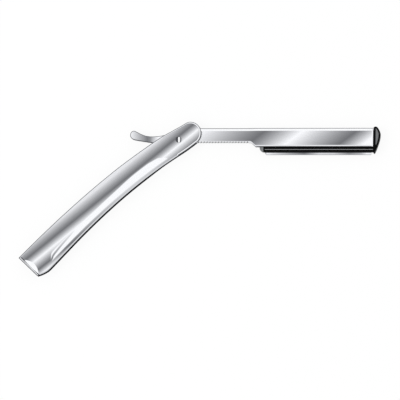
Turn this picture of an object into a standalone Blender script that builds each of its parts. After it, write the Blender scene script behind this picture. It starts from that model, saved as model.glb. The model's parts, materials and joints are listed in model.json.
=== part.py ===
"""A folding barber's razor with a long replaceable blade, shown open and lying on its side.

The handle is one pressed steel sheet, folded along its convex back and open along its concave
side, so the arm folds into it. The arm is one folded steel piece: a curved finger tang, a
shank with a notched lower edge, and a wider sleeve. A moulded carrier holds the blade and
slides lengthwise out of the sleeve by its end cap.

Units are metres. The razor's thickness is along Z. In the pivot's own frame the handle's chord
runs along -X with its open side towards -Y; in the arm's frame the arm runs along +X with the
blade's edge towards -Y. Both frames have their origin on the pivot axis, half way through the
thickness.
"""

import math

import bmesh
import bpy
from mathutils import Matrix, Vector

# Pose and placing
OPEN_ANGLE = math.radians(139.1)

# Clearances
RUNNING_GAP = 0.0002
SEAT_GAP = 0.0003
SIDE_GAP = 0.0003
OVERRUN = 0.004
WELD = 0.000002

# Handle sheet, in plan
HANDLE_REACH = 0.1145
BACK_BULGE = 0.01115
FRONT_DEPTH = 0.0086
NOSE_START = 0.0070
NOSE_REACH = 0.0071
NOSE_HALF_WIDTH_SHARE = 1.01
BUTT_LEAN = math.radians(5.6)

# Handle sheet, in section
HANDLE_WALL = 0.0008
CROWN_RISE = 0.0012
FOLD_RADIUS = 0.0014
LIP_BEVEL = 0.00025
BUTT_RIM = 0.0012
BUTT_RIM_DROP = 0.0010
BUTT_FACET_LENGTH = 0.0027
TANG_SLOT_LENGTH = 0.0295

# Arm sheet
SPINE_HEIGHT = 0.00714
SHANK_EDGE = 0.0014
SLEEVE_EDGE = 0.00382
SHANK_THICKNESS = 0.0024
SHEET = 0.0006
SHANK_LENGTH = 0.0412
SHOULDER_LENGTH = 0.0046
FLARE_LEAD_SHARE = 0.5
SLEEVE_END = 0.1129
SPINE_BEVEL_WIDTH = 0.00135
SPINE_BEVEL_DEPTH = 0.0007
LIP_RADIUS = 0.0005
LIP_OVERHANG = 0.0004
TANG_REACH = 0.02875
BOSS_RADIUS = 0.0043
BOSS_ARC = (235.0, 305.0)

# Notches under the shank
NOTCH_COUNT = 18
NOTCH_PITCH = 0.00168
NOTCH_RADIUS = 0.00042
NOTCH_START = 0.0114

# Blade carrier, cap and blade
SLEEVE_INSIDE = 0.0026
SLEEVE_WEB = 0.0009
BAR_DEPTH = 0.00695
BAR_CHAMFER = 0.0005
BAR_THICKNESS = 0.0030
BAR_NOSE_RADIUS = 0.0026
BEAD_HEIGHT = 0.00553
BEAD_WIDTH = 0.0004
BEAD_RISE = 0.00015
CAP_THICKNESS = 0.0040
CAP_LENGTH = 0.0040
CAP_TOP = 0.0079
CAP_BOTTOM = 0.0078
CAP_EDGE_BEVEL = 0.0004
CAP_PANEL_DEPTH = 0.0003
CAP_PANEL_BORDER = 0.0010
CAP_FIT = 0.0001
TENON_LENGTH = 0.0020
TENON_HALF_HEIGHT = 0.0026
BLADE_LENGTH = 0.0620
BLADE_THICKNESS = 0.00025
BLADE_TOP = 0.0019
BLADE_SETBACK = 0.0008
BLADE_EDGE = 0.00852
BLADE_GRIND = 0.0009
BLADE_CORNER = 0.0012
BLADE_EDGE_THICKNESS = 0.00006
BLADE_SLOT_GAP = 0.00016
BRIDGE_LENGTH = 0.0030
BRIDGE_HEIGHT = 0.0016
BRIDGE_INSET = 0.0140

# Pivot
RIVET_SHANK_RADIUS = 0.0011
RIVET_HEAD_RADIUS = 0.0017
RIVET_HEAD_HEIGHT = 0.0006
HEAD_RECESS_DEPTH = 0.00035
BUSH_WALL = 0.0006
WASHER_RADIUS = 0.0034

# The handle's edges: (share of the reach, share of the bulge or depth)
BACK_SHARES = (
    (-0.15, 0.335), (-0.06, 0.493), (0.0, 0.619), (0.04, 0.705), (0.08, 0.768), (0.16, 0.850),
    (0.24, 0.911), (0.32, 0.964), (0.40, 0.988), (0.48, 1.0), (0.56, 0.995), (0.64, 0.977),
    (0.72, 0.949), (0.80, 0.908), (0.88, 0.855), (0.94, 0.808), (1.0, 0.752), (1.06, 0.690),
)
FRONT_SHARES = (
    (-0.15, 0.965), (-0.06, 0.906), (0.0, 0.856), (0.08, 0.723), (0.16, 0.610), (0.24, 0.545),
    (0.32, 0.503), (0.40, 0.489), (0.48, 0.508), (0.56, 0.552), (0.64, 0.620), (0.72, 0.710),
    (0.80, 0.822), (0.88, 0.938), (0.93, 0.998), (0.955, 0.968), (0.978, 0.890), (1.0, 0.768),
    (1.06, 0.300),
)
HANDLE_STATION_SHARES = (
    -0.15, -0.11, -0.07, -0.03, 0.01, 0.05, 0.09, 0.11, 0.13, 0.155, 0.19, 0.23, 0.28, 0.33,
    0.38, 0.43, 0.48, 0.53, 0.58, 0.63, 0.68, 0.73, 0.78, 0.82, 0.85, 0.875, 0.895, 0.92,
    0.945, 0.965, 0.982, 1.0,
)

# Across the handle, -1 is the open edge and 1 the folded one
LAND_FRONT_SHARE = -0.15
LAND_BACK_SHARE = 0.25
LEAF_LOW_SHARE = -0.78
LEAF_SPAN_SHARE = 0.64
LEAF_LEAST_SHARE = 0.05
LEAF_START_SHARE = 0.105
LEAF_END_SHARE = 0.90
LEAF_FULLNESS = 0.35
RIDGE_START_SHARE = 0.62
MOUTH_NARROW_SHARE = 0.09
MOUTH_WIDE_SHARE = 0.29
COLUMN_SHARES = (-0.05, 0.10, 0.25, 0.42, 0.58, 0.72)

# The tang's upper edge, tip and lower edge: (share of its reach, share of the spine's height)
TANG_SHARES = (
    (-0.42, 1.06), (-0.20, 0.985), (-0.08, 0.93), (0.07, 0.76), (0.20, 0.555), (0.30, 0.433), (0.40, 0.353),
    (0.50, 0.321), (0.595, 0.325), (0.69, 0.387), (0.77, 0.505), (0.856, 0.674),
    (0.921, 0.790), (0.967, 0.735), (0.992, 0.600), (1.0, 0.434), (0.993, 0.285),
    (0.970, 0.160), (0.930, 0.065), (0.861, -0.003), (0.763, -0.069), (0.666, -0.133),
    (0.568, -0.193), (0.40, -0.310), (0.27, -0.430),
)

# From the boss to the first notch: (share of the notch's place, share of the boss's depth below the shank)
BOSS_BLEND_SHARES = ((0.62, 0.38), (0.85, 0.036), (1.0, 0.0))

# The cap seen from the side: (share of its length, share of its top or bottom)
CAP_SHARES = (
    (0.0, 0.93), (0.14, 0.985), (0.32, 1.0), (0.50, 0.965), (0.68, 0.86), (0.87, 0.69),
    (0.98, 0.50), (0.99, 0.33), (0.93, 0.10), (0.80, -0.17), (0.62, -0.45), (0.44, -0.70),
    (0.24, -0.93), (0.12, -0.995), (0.0, -0.96),
)

# Sizes that follow from the ones above
SLEEVE_THICKNESS = SLEEVE_INSIDE + 2.0 * SHEET
WIDE_MOUTH = max(CAP_THICKNESS, SLEEVE_THICKNESS) + 2.0 * SIDE_GAP
NARROW_MOUTH = SHANK_THICKNESS + 2.0 * SIDE_GAP
RAIL_THICKNESS = SLEEVE_INSIDE - 2.0 * RUNNING_GAP
LIP_OPENING = SLEEVE_INSIDE - 2.0 * LIP_OVERHANG
NECK_THICKNESS = LIP_OPENING - 2.0 * RUNNING_GAP
SLEEVE_START = SHANK_LENGTH + SHOULDER_LENGTH
HOLLOW_START = SLEEVE_START + SLEEVE_WEB
CARRIER_START = HOLLOW_START + SEAT_GAP
LIP_TOP = -SLEEVE_EDGE + SHEET
CAP_START = SLEEVE_END + SEAT_GAP
BLADE_SLOT = BLADE_THICKNESS + 2.0 * BLADE_SLOT_GAP
BLADE_END = SLEEVE_END - BLADE_SETBACK
BLADE_START = BLADE_END - BLADE_LENGTH
BUSH_BORE_RADIUS = RIVET_SHANK_RADIUS + RUNNING_GAP
BUSH_RADIUS = BUSH_BORE_RADIUS + BUSH_WALL
ARM_BORE_RADIUS = BUSH_RADIUS + RUNNING_GAP

ROUND_STEPS = 32
SMALL_STEPS = 8
CURVE_STEPS = 3
FOLD_STEPS = 4
BEVEL_ANGLE = math.radians(35.0)

XY_FRAME = Matrix.Identity(4)
XZ_FRAME = Matrix.Rotation(math.radians(90.0), 4, "X")
YZ_FRAME = Matrix(((0.0, 0.0, 1.0, 0.0), (1.0, 0.0, 0.0, 0.0), (0.0, 1.0, 0.0, 0.0), (0.0, 0.0, 0.0, 1.0)))


def clear_scene():
    for old in list(bpy.data.objects):
        bpy.data.objects.remove(old, do_unlink=True)


def new_collection(name):
    collection = bpy.data.collections.new(name)
    bpy.context.scene.collection.children.link(collection)
    return collection


def finish(name, colour, roughness, metallic):
    """A Principled material."""
    material = bpy.data.materials.new(name)
    material.use_nodes = True
    shader = material.node_tree.nodes["Principled BSDF"]
    shader.inputs["Base Color"].default_value = (*colour, 1.0)
    shader.inputs["Roughness"].default_value = roughness
    shader.inputs["Metallic"].default_value = metallic
    return material


def add_part(name, mesh, parent, material):
    """One real piece, in its parent's frame."""
    part = bpy.data.objects.new(name, mesh)
    PARTS.objects.link(part)
    part.parent = parent
    mesh.materials.clear()
    mesh.materials.append(material)
    return part


def add_cutter(name, mesh, parent):
    """A shape that only cuts or trims a piece."""
    cutter = bpy.data.objects.new(name, mesh)
    CUTTERS.objects.link(cutter)
    cutter.parent = parent
    cutter.display_type = "WIRE"
    cutter.hide_render = True
    return cutter


def combine(target, cutter, operation):
    """Joins, trims or cuts a piece by another shape."""
    modifier = target.modifiers.new(operation.lower() + " " + cutter.name, "BOOLEAN")
    modifier.operation = operation
    modifier.solver = "EXACT"
    modifier.object = cutter


def prism(name, outline, half_depth, frame=XY_FRAME):
    """A mesh made from a flat outline with thickness on both sides of it."""
    curve = bpy.data.curves.new(name, "CURVE")
    curve.dimensions = "2D"
    curve.fill_mode = "BOTH"
    curve.extrude = half_depth
    spline = curve.splines.new("POLY")
    spline.points.add(len(outline) - 1)
    for point, (across, up) in zip(spline.points, outline):
        point.co = (across, up, 0.0, 1.0)
    spline.use_cyclic_u = True
    holder = bpy.data.objects.new(name, curve)
    bpy.context.scene.collection.objects.link(holder)
    bpy.context.view_layer.update()
    evaluated = holder.evaluated_get(bpy.context.evaluated_depsgraph_get())
    mesh = bpy.data.meshes.new_from_object(evaluated)
    bpy.data.objects.remove(holder, do_unlink=True)
    shape = bmesh.new()
    shape.from_mesh(mesh)
    bmesh.ops.remove_doubles(shape, verts=shape.verts, dist=WELD)
    bmesh.ops.transform(shape, matrix=frame, verts=shape.verts)
    bmesh.ops.recalc_face_normals(shape, faces=shape.faces)
    shape.to_mesh(mesh)
    shape.free()
    return mesh


def block(name, low, high):
    """A plain box between two corners."""
    shape = bmesh.new()
    low, high = Vector(low), Vector(high)
    size = high - low
    place = Matrix.Translation((low + high) / 2.0) @ Matrix.Diagonal((*size, 1.0))
    bmesh.ops.create_cube(shape, size=1.0, matrix=place)
    mesh = bpy.data.meshes.new(name)
    shape.to_mesh(mesh)
    shape.free()
    return mesh


def rods(name, places, radius, half_length, steps):
    """Upright round rods, one at each place."""
    shape = bmesh.new()
    for place in places:
        bmesh.ops.create_cone(
            shape, cap_ends=True, segments=steps, radius1=radius, radius2=radius,
            depth=2.0 * half_length, matrix=Matrix.Translation(place),
        )
    mesh = bpy.data.meshes.new(name)
    shape.to_mesh(mesh)
    shape.free()
    return mesh


def loft(name, rings):
    """A closed body through a row of rings with equal numbers of points."""
    shape = bmesh.new()
    rows = [[shape.verts.new(point) for point in ring] for ring in rings]
    for near, far in zip(rows, rows[1:]):
        for index in range(len(near)):
            after = (index + 1) % len(near)
            shape.faces.new((near[index], near[after], far[after], far[index]))
    shape.faces.new(rows[0])
    shape.faces.new(rows[-1])
    bmesh.ops.recalc_face_normals(shape, faces=shape.faces)
    bmesh.ops.triangulate(shape, faces=shape.faces)
    mesh = bpy.data.meshes.new(name)
    shape.to_mesh(mesh)
    shape.free()
    return mesh


def turned(name, profile, closed, parent, material):
    """A round piece from a profile that a Screw turns about Z."""
    count = len(profile)
    edges = [(index, index + 1) for index in range(count - 1)]
    if closed:
        edges.append((count - 1, 0))
    mesh = bpy.data.meshes.new(name)
    mesh.from_pydata([(radius, 0.0, height) for radius, height in profile], edges, [])
    part = add_part(name, mesh, parent, material)
    screw = part.modifiers.new("turn", "SCREW")
    screw.axis = "Z"
    screw.steps = ROUND_STEPS
    screw.render_steps = ROUND_STEPS
    screw.use_merge_vertices = True
    screw.merge_threshold = WELD
    return part


def read_curve(table, place):
    """The value at one place of a smooth curve through (place, value) pairs."""
    last = len(table) - 1
    span = 0
    while span < last - 1 and place > table[span + 1][0]:
        span += 1

    def slope(index):
        before, after = table[max(index - 1, 0)], table[min(index + 1, last)]
        return (after[1] - before[1]) / (after[0] - before[0])

    (start, low), (end, high) = table[span], table[span + 1]
    width = end - start
    t = (place - start) / width
    return (
        low * (1.0 + 2.0 * t) * (1.0 - t) ** 2
        + high * t * t * (3.0 - 2.0 * t)
        + slope(span) * width * t * (1.0 - t) ** 2
        - slope(span + 1) * width * t * t * (1.0 - t)
    )


def smooth_line(points, steps):
    """Points along a smooth line through the given ones."""
    line = []
    last = len(points) - 1
    for span in range(last):
        a, b = Vector(points[max(span - 1, 0)]), Vector(points[span])
        c, d = Vector(points[span + 1]), Vector(points[min(span + 2, last)])
        for step in range(steps):
            t = step / steps
            line.append(
                0.5 * (2.0 * b + (c - a) * t + (2.0 * a - 5.0 * b + 4.0 * c - d) * t * t
                       + (3.0 * b - a - 3.0 * c + d) * t ** 3)
            )
    line.append(Vector(points[last]))
    return [tuple(point) for point in line]


def arc(centre, radii, start, end, steps):
    """Points on an arc, angles in degrees."""
    turns = [math.radians(start + (end - start) * step / steps) for step in range(steps + 1)]
    return [(centre[0] + radii[0] * math.cos(turn), centre[1] + radii[1] * math.sin(turn)) for turn in turns]


def ease(value):
    """Runs smoothly from 0 to 1."""
    value = min(max(value, 0.0), 1.0)
    return value * value * (3.0 - 2.0 * value)


def mouth_half(share):
    """Half of the handle's open gap: narrow beside the pivot, wider where the sleeve lies."""
    wide = ease((share - MOUTH_NARROW_SHARE) / (MOUTH_WIDE_SHARE - MOUTH_NARROW_SHARE))
    return (NARROW_MOUTH + (WIDE_MOUTH - NARROW_MOUTH) * wide) / 2.0


def crown(across):
    """The handle's crown, from 0 at its edges to 1 on its flat land."""
    if across < LAND_FRONT_SHARE:
        return 1.0 - ((LAND_FRONT_SHARE - across) / (1.0 + LAND_FRONT_SHARE)) ** 2
    if across > LAND_BACK_SHARE:
        return 1.0 - ((across - LAND_BACK_SHARE) / (1.0 - LAND_BACK_SHARE)) ** 2
    return 1.0


def leaf_columns(share):
    """The long leaf-shaped facet: its low side, its ridge and its top side, across the handle."""
    along = (share - LEAF_START_SHARE) / (LEAF_END_SHARE - LEAF_START_SHARE)
    fullness = math.sin(math.pi * min(max(along, 0.0), 1.0)) ** LEAF_FULLNESS if 0.0 < along < 1.0 else 0.0
    top = LEAF_LOW_SHARE + max(LEAF_SPAN_SHARE * fullness, LEAF_LEAST_SHARE)
    return LEAF_LOW_SHARE, (LEAF_LOW_SHARE + top) / 2.0, top


def handle_section(share, inset):
    """One ring of the handle's form, drawn in by the sheet's thickness for the hollow inside it."""
    front = -FRONT_DEPTH * read_curve(FRONT_SHARES, share)
    back = BACK_BULGE * read_curve(BACK_SHARES, share)
    middle, half = (front + back) / 2.0, (back - front) / 2.0
    edge = mouth_half(share) + HANDLE_WALL

    def height(across):
        return edge + CROWN_RISE * crown(across) - inset

    low, ridge, top = leaf_columns(share)
    proud = ease((share - RIDGE_START_SHARE) / (LEAF_END_SHARE - RIDGE_START_SHARE))
    ridge_height = (height(low) + height(top)) / 2.0 * (1.0 - proud) + height(ridge) * proud
    if inset:
        upper = [(front - OVERRUN, edge - inset), (front, edge - inset)]
    else:
        upper = [(front, edge - LIP_BEVEL), (front + LIP_BEVEL, edge)]
    upper += [(middle + low * half, height(low)), (middle + ridge * half, ridge_height)]
    upper += [(middle + across * half, height(across)) for across in (top, *COLUMN_SHARES)]
    radius = FOLD_RADIUS - inset
    shoulder = height((back - FOLD_RADIUS - middle) / half)
    upper += arc((back - inset - radius, shoulder - radius), (radius, radius), 90.0, 0.0, FOLD_STEPS)
    ring = upper + [(side, -height_there) for side, height_there in reversed(upper)]
    lean = math.tan(BUTT_LEAN) * ease((share - LEAF_END_SHARE) / (1.0 - LEAF_END_SHARE))
    return [(-share * HANDLE_REACH - lean * side, side, up) for side, up in ring]


def butt_cutter(name, inset):
    """Cuts the lens-shaped facet and the low rim at the butt, on both sides."""
    crest = WIDE_MOUTH / 2.0 + HANDLE_WALL + CROWN_RISE - inset
    rim_start = -HANDLE_REACH + BUTT_RIM
    rim = crest - BUTT_RIM_DROP
    climb = BUTT_RIM_DROP / BUTT_FACET_LENGTH
    far = -HANDLE_REACH - 2.0 * OVERRUN
    upper = [(rim_start, rim), (far, rim), (far, rim + OVERRUN), (rim_start + OVERRUN / climb, rim + OVERRUN)]
    turn = Matrix.Translation((-HANDLE_REACH, 0.0, 0.0)) @ Matrix.Rotation(BUTT_LEAN, 4, "Z")
    turn = turn @ Matrix.Translation((HANDLE_REACH, 0.0, 0.0))
    shape = bmesh.new()
    for side in (1.0, -1.0):
        wedge = prism(name, [(along, side * up) for along, up in upper], BACK_BULGE + FRONT_DEPTH, XZ_FRAME)
        wedge.transform(turn)
        shape.from_mesh(wedge)
    mesh = bpy.data.meshes.new(name)
    shape.to_mesh(mesh)
    shape.free()
    return add_cutter(name, mesh, PIVOT)


def build_handle(steel):
    """The folded and pressed handle sheet."""
    rings = [handle_section(share, 0.0) for share in HANDLE_STATION_SHARES]
    handle = add_part("handle_shell", loft("handle_shell", rings), PIVOT, steel)

    nose_front = -FRONT_DEPTH * read_curve(FRONT_SHARES, -NOSE_START / HANDLE_REACH)
    nose_back = BACK_BULGE * read_curve(BACK_SHARES, -NOSE_START / HANDLE_REACH)
    centre = (NOSE_START, (nose_front + nose_back) / 2.0)
    nose_half = (nose_back - nose_front) / 2.0 * NOSE_HALF_WIDTH_SHARE
    far = -HANDLE_REACH - 2.0 * OVERRUN
    outline = arc(centre, (NOSE_REACH, nose_half), -90.0, 90.0, ROUND_STEPS)
    outline += [(-NOSE_START, BACK_BULGE + OVERRUN), (far, BACK_BULGE + OVERRUN)]
    outline += [(far, -FRONT_DEPTH - OVERRUN), (-NOSE_START, -FRONT_DEPTH - OVERRUN)]
    trim = add_cutter("nose_trim", prism("nose_trim", outline, WIDE_MOUTH + OVERRUN), PIVOT)
    combine(handle, trim, "INTERSECT")
    combine(handle, butt_cutter("butt_facet_cutter", 0.0), "DIFFERENCE")

    past = OVERRUN / HANDLE_REACH
    first, *between, last = HANDLE_STATION_SHARES
    hollow_shares = (first - past, first, *between, last + past)
    hollow_mesh = loft("handle_hollow", [handle_section(share, HANDLE_WALL) for share in hollow_shares])
    hollow = add_cutter("handle_hollow", hollow_mesh, PIVOT)
    combine(hollow, butt_cutter("hollow_facet_cutter", HANDLE_WALL), "DIFFERENCE")
    combine(handle, hollow, "DIFFERENCE")

    slot_half = NARROW_MOUTH / 2.0
    round_end = (-TANG_SLOT_LENGTH + slot_half, 0.0)
    outline = arc(round_end, (slot_half, slot_half), 90.0, 270.0, SMALL_STEPS)
    slot_mouth = NOSE_START + NOSE_REACH + OVERRUN
    outline += [(slot_mouth, -slot_half), (slot_mouth, slot_half)]
    slot_mesh = prism("tang_slot", outline, BACK_BULGE, XZ_FRAME)
    slot_mesh.transform(Matrix.Translation((0.0, BACK_BULGE, 0.0)))
    combine(handle, add_cutter("tang_slot", slot_mesh, PIVOT), "DIFFERENCE")

    crest = NARROW_MOUTH / 2.0 + HANDLE_WALL + CROWN_RISE
    hole_radius = RIVET_SHANK_RADIUS + RUNNING_GAP
    hole = rods("rivet_hole", [(0.0, 0.0, 0.0)], hole_radius, crest + OVERRUN, ROUND_STEPS)
    combine(handle, add_cutter("rivet_hole", hole, PIVOT), "DIFFERENCE")
    seat = crest - HEAD_RECESS_DEPTH + OVERRUN
    seats = [(0.0, 0.0, seat), (0.0, 0.0, -seat)]
    recess = rods("head_recess", seats, RIVET_HEAD_RADIUS + RUNNING_GAP, OVERRUN, ROUND_STEPS)
    combine(handle, add_cutter("head_recess", recess, PIVOT), "DIFFERENCE")
    return crest


def build_pivot(crest, steel, brass):
    """The rivet, the bush that the arm turns on, and the two washers beside the arm."""
    shank = RIVET_SHANK_RADIUS
    seat = crest - HEAD_RECESS_DEPTH + RUNNING_GAP
    dome = arc((0.0, seat), (RIVET_HEAD_RADIUS, RIVET_HEAD_HEIGHT), 90.0, 0.0, SMALL_STEPS)
    upper = dome + [(shank, seat)]
    profile = upper + [(radius, -height) for radius, height in reversed(upper)]
    turned("pivot_rivet", profile, False, PIVOT, steel)

    inner_face = crest - HANDLE_WALL - RUNNING_GAP
    tube = [
        (BUSH_RADIUS, inner_face), (BUSH_RADIUS, -inner_face),
        (BUSH_BORE_RADIUS, -inner_face), (BUSH_BORE_RADIUS, inner_face),
    ]
    turned("pivot_bush", tube, True, PIVOT, brass)

    ear_half_width = BACK_BULGE * read_curve(BACK_SHARES, 0.0)
    fall = CROWN_RISE * (1.0 - crown(-WASHER_RADIUS / ear_half_width))
    arm_face = SHANK_THICKNESS / 2.0 + RUNNING_GAP
    ear_face = inner_face - fall
    for name, low, high in (
        ("pivot_washer_upper", arm_face, ear_face),
        ("pivot_washer_lower", -ear_face, -arm_face),
    ):
        ring = [(WASHER_RADIUS, high), (WASHER_RADIUS, low), (ARM_BORE_RADIUS, low), (ARM_BORE_RADIUS, high)]
        turned(name, ring, True, PIVOT, brass)


def arm_outline():
    """The arm's flat outline: spine, tang, boss, shank and sleeve, anticlockwise from the tip."""
    tang = [(-TANG_REACH * along, SPINE_HEIGHT * up) for along, up in TANG_SHARES]
    boss = arc((0.0, 0.0), (BOSS_RADIUS, BOSS_RADIUS), *BOSS_ARC, CURVE_STEPS)
    proud = BOSS_RADIUS - SHANK_EDGE
    blend = [(NOTCH_START * along, -SHANK_EDGE - proud * depth) for along, depth in BOSS_BLEND_SHARES]
    outline = [(SLEEVE_END, SPINE_HEIGHT + OVERRUN)]
    outline += smooth_line([*tang, *boss, *blend], CURVE_STEPS)
    drop = SLEEVE_EDGE + LIP_RADIUS - SHANK_EDGE
    outline += [
        (SHANK_LENGTH + SHOULDER_LENGTH * step / SMALL_STEPS, -SHANK_EDGE - drop * ease(step / SMALL_STEPS))
        for step in range(SMALL_STEPS + 1)
    ]
    outline.append((SLEEVE_END, -SLEEVE_EDGE - OVERRUN))
    return outline


def arm_section(along, half):
    """One ring of the arm's form: a bevelled spine above and rounded lips below."""
    shoulder = half - SPINE_BEVEL_DEPTH
    side = [(SPINE_HEIGHT, shoulder), (SPINE_HEIGHT - SPINE_BEVEL_WIDTH, half)]
    lip_centre = (-SLEEVE_EDGE + LIP_RADIUS, half - LIP_RADIUS)
    side += arc(lip_centre, (LIP_RADIUS, LIP_RADIUS), 90.0, 180.0, CURVE_STEPS)
    ring = side + [(up, -out) for up, out in reversed(side)]
    return [(along, up, out) for up, out in ring]


def build_arm(steel):
    """The folded arm: tang, notched shank and the hollow sleeve for the carrier."""
    shank_half, sleeve_half = SHANK_THICKNESS / 2.0, SLEEVE_THICKNESS / 2.0
    stations = [(-TANG_REACH - OVERRUN, shank_half)]
    flare_start = SHANK_LENGTH - FLARE_LEAD_SHARE * SHOULDER_LENGTH
    flare_length = (1.0 + FLARE_LEAD_SHARE) * SHOULDER_LENGTH
    for step in range(SMALL_STEPS + 1):
        share = step / SMALL_STEPS
        half = shank_half + (sleeve_half - shank_half) * ease(share)
        stations.append((flare_start + flare_length * share, half))
    stations.append((SLEEVE_END + OVERRUN, sleeve_half))
    rings = [arm_section(*station) for station in stations]
    arm = add_part("blade_arm", loft("blade_arm", rings), ARM, steel)
    outline = add_cutter("arm_outline", prism("arm_outline", arm_outline(), sleeve_half + OVERRUN), ARM)
    combine(arm, outline, "INTERSECT")

    inner, roof = SLEEVE_INSIDE / 2.0, SPINE_HEIGHT - SHEET
    opening = LIP_OPENING / 2.0
    half_section = [
        (roof, max(inner - SPINE_BEVEL_DEPTH, opening / 2.0)), (SPINE_HEIGHT - SPINE_BEVEL_WIDTH, inner),
        (LIP_TOP, inner), (LIP_TOP, opening), (-SLEEVE_EDGE - OVERRUN, opening),
    ]
    section = half_section + [(up, -out) for up, out in reversed(half_section)]
    start, end = HOLLOW_START, SLEEVE_END + OVERRUN
    hollow = prism("sleeve_hollow", section, (end - start) / 2.0, YZ_FRAME)
    hollow.transform(Matrix.Translation(((start + end) / 2.0, 0.0, 0.0)))
    combine(arm, add_cutter("sleeve_hollow", hollow, ARM), "DIFFERENCE")

    places = [(NOTCH_START + NOTCH_PITCH * index, -SHANK_EDGE, 0.0) for index in range(NOTCH_COUNT)]
    notches = rods("shank_notches", places, NOTCH_RADIUS, sleeve_half + OVERRUN, SMALL_STEPS)
    combine(arm, add_cutter("shank_notches", notches, ARM), "DIFFERENCE")
    bore = rods("arm_bore", [(0.0, 0.0, 0.0)], ARM_BORE_RADIUS, sleeve_half + OVERRUN, ROUND_STEPS)
    combine(arm, add_cutter("arm_bore", bore, ARM), "DIFFERENCE")


def bridge_places():
    """Where the two bridges cross the blade slot, along the arm."""
    return BLADE_START + BRIDGE_INSET, BLADE_END - BRIDGE_INSET


def build_carrier(plastic):
    """The moulded carrier: a rail inside the sleeve, a neck between its lips and a bar below them."""
    rail, neck, bar = RAIL_THICKNESS / 2.0, NECK_THICKNESS / 2.0, BAR_THICKNESS / 2.0
    rail_top = SPINE_HEIGHT - SPINE_BEVEL_WIDTH - RUNNING_GAP
    rail_low, bar_top = LIP_TOP + RUNNING_GAP, -SLEEVE_EDGE - RUNNING_GAP
    bead = BEAD_WIDTH / 2.0
    half_section = [
        (rail_top, rail), (rail_low, rail), (rail_low, neck), (bar_top, neck), (bar_top, bar),
        (-BEAD_HEIGHT + bead, bar), (-BEAD_HEIGHT, bar + BEAD_RISE), (-BEAD_HEIGHT - bead, bar),
        (-BAR_DEPTH + BAR_CHAMFER, bar), (-BAR_DEPTH, bar - BAR_CHAMFER),
    ]
    section = half_section + [(up, -out) for up, out in reversed(half_section)]
    end = CAP_START + TENON_LENGTH
    mesh = prism("blade_carrier", section, (end - CARRIER_START) / 2.0 + OVERRUN, YZ_FRAME)
    mesh.transform(Matrix.Translation(((CARRIER_START + end) / 2.0, 0.0, 0.0)))
    carrier = add_part("blade_carrier", mesh, CARRIER, plastic)

    face = CAP_START - CAP_FIT
    tenon_middle = (rail_top + rail_low) / 2.0
    tenon_low, tenon_high = tenon_middle - TENON_HALF_HEIGHT, tenon_middle + TENON_HALF_HEIGHT
    nose = arc((CARRIER_START + BAR_NOSE_RADIUS, -BAR_DEPTH + BAR_NOSE_RADIUS),
               (BAR_NOSE_RADIUS, BAR_NOSE_RADIUS), 180.0, 270.0, SMALL_STEPS)
    outline = [
        (CARRIER_START, rail_top + OVERRUN), *nose[:-1], (nose[-1][0], -BAR_DEPTH - OVERRUN),
        (face, -BAR_DEPTH - OVERRUN), (face, tenon_low), (end, tenon_low), (end, tenon_high),
        (face, tenon_high), (face, rail_top + OVERRUN),
    ]
    trim = add_cutter("carrier_outline", prism("carrier_outline", outline, bar + OVERRUN), CARRIER)
    combine(carrier, trim, "INTERSECT")

    roof = -BLADE_TOP + SEAT_GAP
    low = -BAR_DEPTH - OVERRUN
    start, stop = BLADE_START - RUNNING_GAP, BLADE_END + RUNNING_GAP
    outline = [(start, low), (stop, low), (stop, roof)]
    for place in reversed(bridge_places()):
        bridge = roof - BRIDGE_HEIGHT
        outline += [
            (place + BRIDGE_LENGTH / 2.0, roof), (place + BRIDGE_LENGTH / 2.0, bridge),
            (place - BRIDGE_LENGTH / 2.0, bridge), (place - BRIDGE_LENGTH / 2.0, roof),
        ]
    outline.append((start, roof))
    slot = add_cutter("blade_slot", prism("blade_slot", outline, BLADE_SLOT / 2.0), CARRIER)
    combine(carrier, slot, "DIFFERENCE")
    return tenon_low, tenon_high


def cap_outline():
    """The cap's D-shaped side."""
    points = []
    for along, up in CAP_SHARES:
        side = CAP_TOP if up > 0.0 else CAP_BOTTOM
        points.append((CAP_START + CAP_LENGTH * along, side * up))
    return smooth_line(points, CURVE_STEPS)


def cap_panel():
    """The sunk panel in the cap's side, which leaves a border of one width round it."""
    side = [Vector(point) for point in cap_outline()]
    start = CAP_START + CAP_PANEL_BORDER
    curve = []
    for before, here, after in zip(side, side[1:], side[2:]):
        along = (after - before).normalized()
        x, y = here.x + along.y * CAP_PANEL_BORDER, here.y - along.x * CAP_PANEL_BORDER
        if x > start:
            curve.append((x, y))
    return [(start, curve[0][1]), *curve, (start, curve[-1][1])]


def build_cap(tenon_low, tenon_high, plastic):
    """The thumb cap that pulls the carrier out, pressed onto the carrier's tenon."""
    half = CAP_THICKNESS / 2.0
    cap = add_part("carrier_cap", prism("carrier_cap", cap_outline(), half), CARRIER, plastic)
    bevel = cap.modifiers.new("moulded edge", "BEVEL")
    bevel.width = CAP_EDGE_BEVEL
    bevel.segments = 2
    bevel.limit_method = "ANGLE"
    bevel.angle_limit = BEVEL_ANGLE
    gap = RUNNING_GAP
    socket = block(
        "cap_socket",
        (CAP_START - OVERRUN, tenon_low - gap, -RAIL_THICKNESS / 2.0 - gap),
        (CAP_START + TENON_LENGTH + gap, tenon_high + gap, RAIL_THICKNESS / 2.0 + gap),
    )
    combine(cap, add_cutter("cap_socket", socket, CARRIER), "DIFFERENCE")
    for name, side in (("cap_panel_upper", 1.0), ("cap_panel_lower", -1.0)):
        panel = prism(name, cap_panel(), OVERRUN / 2.0)
        panel.transform(Matrix.Translation((0.0, 0.0, side * (half - CAP_PANEL_DEPTH + OVERRUN / 2.0))))
        combine(cap, add_cutter(name, panel, CARRIER), "DIFFERENCE")


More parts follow.
